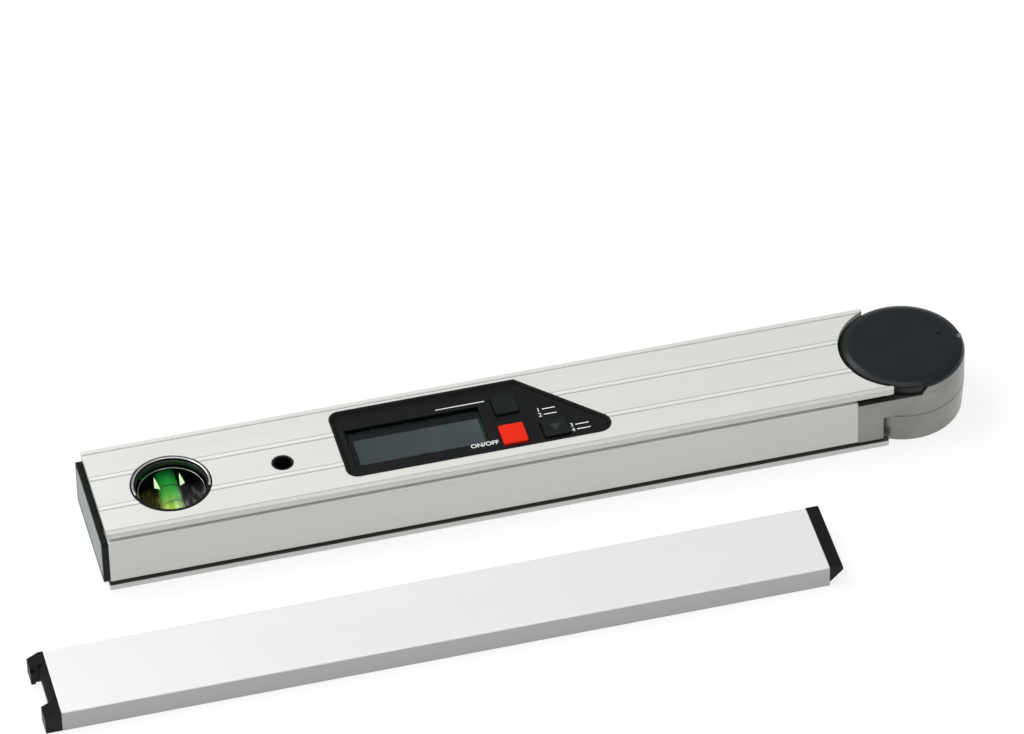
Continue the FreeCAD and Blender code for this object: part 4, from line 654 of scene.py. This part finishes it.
def window_ring(name, height, radius, wide, tall, finish, arc=None):
    """A thin ring in the level window: an ellipse `wide` across and `tall` high, carried round an upright
    circle. With an arc, given by two angles in degrees, it runs along that arc only, and a flat face closes
    each end."""
    if arc:
        turn = np.radians(np.linspace(*arc, TRIM_ARC_STEPS))
    else:
        turn = np.linspace(0, 2 * np.pi, TRIM_STEPS, endpoint=False)
    section = np.linspace(0, 2 * np.pi, TRIM_SECTION, endpoint=False)[:, None]
    out = radius + wide / 2 * np.cos(section)
    points = np.stack([LEVEL_X + out * np.cos(turn), LEVEL_Y + out * np.sin(turn),
                       height + tall / 2 * np.sin(section) + 0 * turn], -1)
    faces = [*grid_faces(TRIM_SECTION, len(turn), close_rows=True, close_columns=not arc)]
    if arc:
        first_end = np.arange(TRIM_SECTION) * len(turn)
        faces += [first_end, (first_end + len(turn) - 1)[::-1]]
    return piece(name, points.reshape(-1, 3), faces, finish, "base_leg", smooth=True)


# Print in the dish: numbers and plain strokes beside the keys, and a line that leads to the hold key.
lettering("label_on_off", "ON/OFF", tall=2.8, right=-203.7, middle=-14.2, bold=0.02)
lettering("label_keys_rear", "1\n2", tall=6.4, right=-179.2, middle=0.9)
lettering("label_keys_near", "3\n4", tall=6.0, right=-166.4, middle=-13.7)
stroke("label_leader", start=-227.6, end=-203.5, middle=15.6, wide=0.55)
BESIDE_HOLD, BESIDE_MODE = (-178.2, -171.8), (-165.4, -158.8)
strokes = ((BESIDE_HOLD, 2.8), (BESIDE_HOLD, -1.1), (BESIDE_MODE, -12.0), (BESIDE_MODE, -15.4))
for number, ((start, end), middle) in enumerate(strokes, 1):
    stroke(f"label_stroke_{number}", start, end, middle, wide=0.6)

# The level window: its bright spring clip, the dark rim under it and a fine bright ring on the block.
cup_top, block_top = LEVEL_CUP.high[2], LEVEL_BLOCK.high[2]
window_ring("level_clip", cup_top, radius=18.35, wide=1.2, tall=0.7, finish=bright_ring, arc=(-18.0, 192.0))
window_ring("level_rim", cup_top - 2.4, radius=17.35, wide=0.7, tall=2.8, finish=dark_ring)
window_ring("level_inner_rim", block_top + 0.3, radius=16.0, wide=0.35, tall=0.4, finish=bright_ring)

# The level tube: two lines, and between them a bubble just under the top of the liquid.
LINE_OFFSET = 5.6
BUBBLE_DEPTH = 1.9
for side, way in (("rear", 1), ("near", -1)):
    level_line(f"level_line_{side}", LEVEL_Y + way * LINE_OFFSET, wide=0.5, thick=0.05)
air_bubble("level_bubble", (LEVEL_X, LEVEL_Y, LEVEL_DYE.high[2] - BUBBLE_DEPTH), half_sizes=(2.9, 4.4, 1.8))

# Two painted glints beside the tube: flat plates that stand for the dye's light, as corners to the right of
# the window's middle.
GLINT_CORNERS = np.array([(4.8, 2.5), (7.4, 4.0), (6.3, 11.5), (5.6, 9.0)])
for side, way in (("left", -1), ("right", 1)):
    outline = GLINT_CORNERS * (way, 1) + (LEVEL_X, LEVEL_Y)
    plate(f"level_painted_glint_{side}", outline[::way], block_top, block_top + 0.06, painted_glint, "base_leg")

# The triangle on the mode key, which points to the near edge.
TRIANGLE = 2.7 * np.array([(-1, 0.75), (0, -0.95), (1, 0.75)])
printed("mode_triangle", rounded(TRIANGLE + MODE_KEY.middle[:2], radius=0.35), MODE_KEY.high[2], grey_ink,
        "mode_key")


# ------------------------------------------------------- floor and light

# Places in metres, tones in screen values, strengths where 1 is white, and the camera's turn in degrees.
FLOOR_REACH = 40.0
FLOOR_LEVEL = -0.0003
FLOOR_TONE = (126, 126, 126)
FLOOR_GLOW = 0.81
WORLD_LIGHT = 0.34
TOOL_MIDDLE = (-0.22, -0.04, 0.0)
CAMERA_PLACE = (-0.870071, -2.941343, 2.755939)
CAMERA_TURN = (48.2915, 1.2713, -14.0986)
CAMERA_LENS = 298.73


def white_floor():
    """Floor: one square. It is a plain pale surface, and for rays of the camera, gloss and glass it gets
    the light that it lacks to be white where nothing shades it. From below it can be looked through."""
    square = ((-1, -1), (1, -1), (1, 1), (-1, 1))
    corners = [(x * FLOOR_REACH, y * FLOOR_REACH, FLOOR_LEVEL) for x, y in square]
    mesh = bpy.data.meshes.new("floor")
    mesh.from_pydata(corners, [], [(0, 1, 2, 3)])
    mesh.update()
    floor = bpy.data.objects.new("floor", mesh)
    bpy.context.scene.collection.objects.link(floor)
    cover = Finish("floor")
    cover.nodes.remove(cover.surface)
    way = cover.node("LightPath").outputs
    seen = cover.joined("MAXIMUM", cover.joined("MAXIMUM", way["Is Camera Ray"], way["Is Glossy Ray"]),
                        way["Is Transmission Ray"])
    light = cover.joined("MULTIPLY", seen, FLOOR_GLOW)
    pale = cover.node("BsdfDiffuse", {"Color": shade(*FLOOR_TONE)}).outputs[0]
    glow = cover.node("Emission", {"Color": (1, 1, 1, 1), "Strength": light}).outputs[0]
    upper_side = cover.node("AddShader", {0: pale, 1: glow}).outputs[0]
    underside = cover.node("BsdfTransparent").outputs[0]
    back = cover.node("NewGeometry").outputs["Backfacing"]
    out = cover.node("MixShader", {0: back, 1: upper_side, 2: underside}).outputs[0]
    cover.links.new(out, cover.nodes["Material Output"].inputs["Surface"])
    mesh.materials.append(cover.material)


def studio_world():
    """A dim even world that lights the tool from all round, and that the camera itself sees as white."""
    world = bpy.data.worlds.new("studio")
    world.use_nodes = True
    sky = world.node_tree.nodes["Background"].inputs
    sky["Color"].default_value = (1.0, 1.0, 1.0, 1.0)
    rays = world.node_tree.nodes.new("ShaderNodeLightPath")
    strength = world.node_tree.nodes.new("ShaderNodeMath")
    strength.operation = "MAXIMUM"
    strength.inputs[1].default_value = WORLD_LIGHT
    world.node_tree.links.new(rays.outputs["Is Camera Ray"], strength.inputs[0])
    world.node_tree.links.new(strength.outputs[0], sky["Strength"])
    bpy.context.scene.world = world


def softbox(name, place, size, power, gloss=True):
    """A lamp of that length, width and power, turned to the middle of the tool. Without gloss it is a
    scrim: its light reaches the tool, but shiny faces don't mirror it."""
    lamp = bpy.data.lights.new(name, "AREA")
    lamp.shape = "RECTANGLE"
    lamp.size, lamp.size_y = size
    lamp.energy = power
    made = bpy.data.objects.new(name, lamp)
    bpy.context.scene.collection.objects.link(made)
    made.visible_glossy = gloss
    made.location = place
    aim = np.array(TOOL_MIDDLE) - np.array(place)
    made.rotation_euler = (math.atan2(math.hypot(aim[0], aim[1]), -aim[2]), 0, math.atan2(-aim[0], aim[1]))


def studio_camera():
    """A long lens from the front, above and a little to the left."""
    camera = bpy.data.objects.new("camera", bpy.data.cameras.new("camera"))
    bpy.context.scene.collection.objects.link(camera)
    camera.location = CAMERA_PLACE
    camera.rotation_euler = tuple(math.radians(angle) for angle in CAMERA_TURN)
    camera.data.sensor_width = 36.0
    camera.data.lens = CAMERA_LENS
    camera.data.clip_start = 0.1
    camera.data.clip_end = 100.0
    bpy.context.scene.camera = camera


white_floor()
studio_world()
softbox("key", place=(-1.3, 0.5, 1.8), size=(1.4, 1.4), power=22.5, gloss=False)
softbox("window", place=(-1.25, 0.48, 1.73), size=(0.5, 0.5), power=3.5)
softbox("rear", place=(-0.74, 1.38, 1.9), size=(0.6, 0.6), power=6.0)
softbox("above", place=(-0.2, 0.0, 2.4), size=(2.4, 0.3), power=7.5)
softbox("front", place=(-0.5, -1.1, 2.0), size=(2.4, 0.3), power=7.5)
softbox("side", place=(1.2, -1.25, 1.2), size=(1.0, 1.0), power=5.0, gloss=False)
studio_camera()
bpy.context.scene.view_settings.view_transform = "Standard"
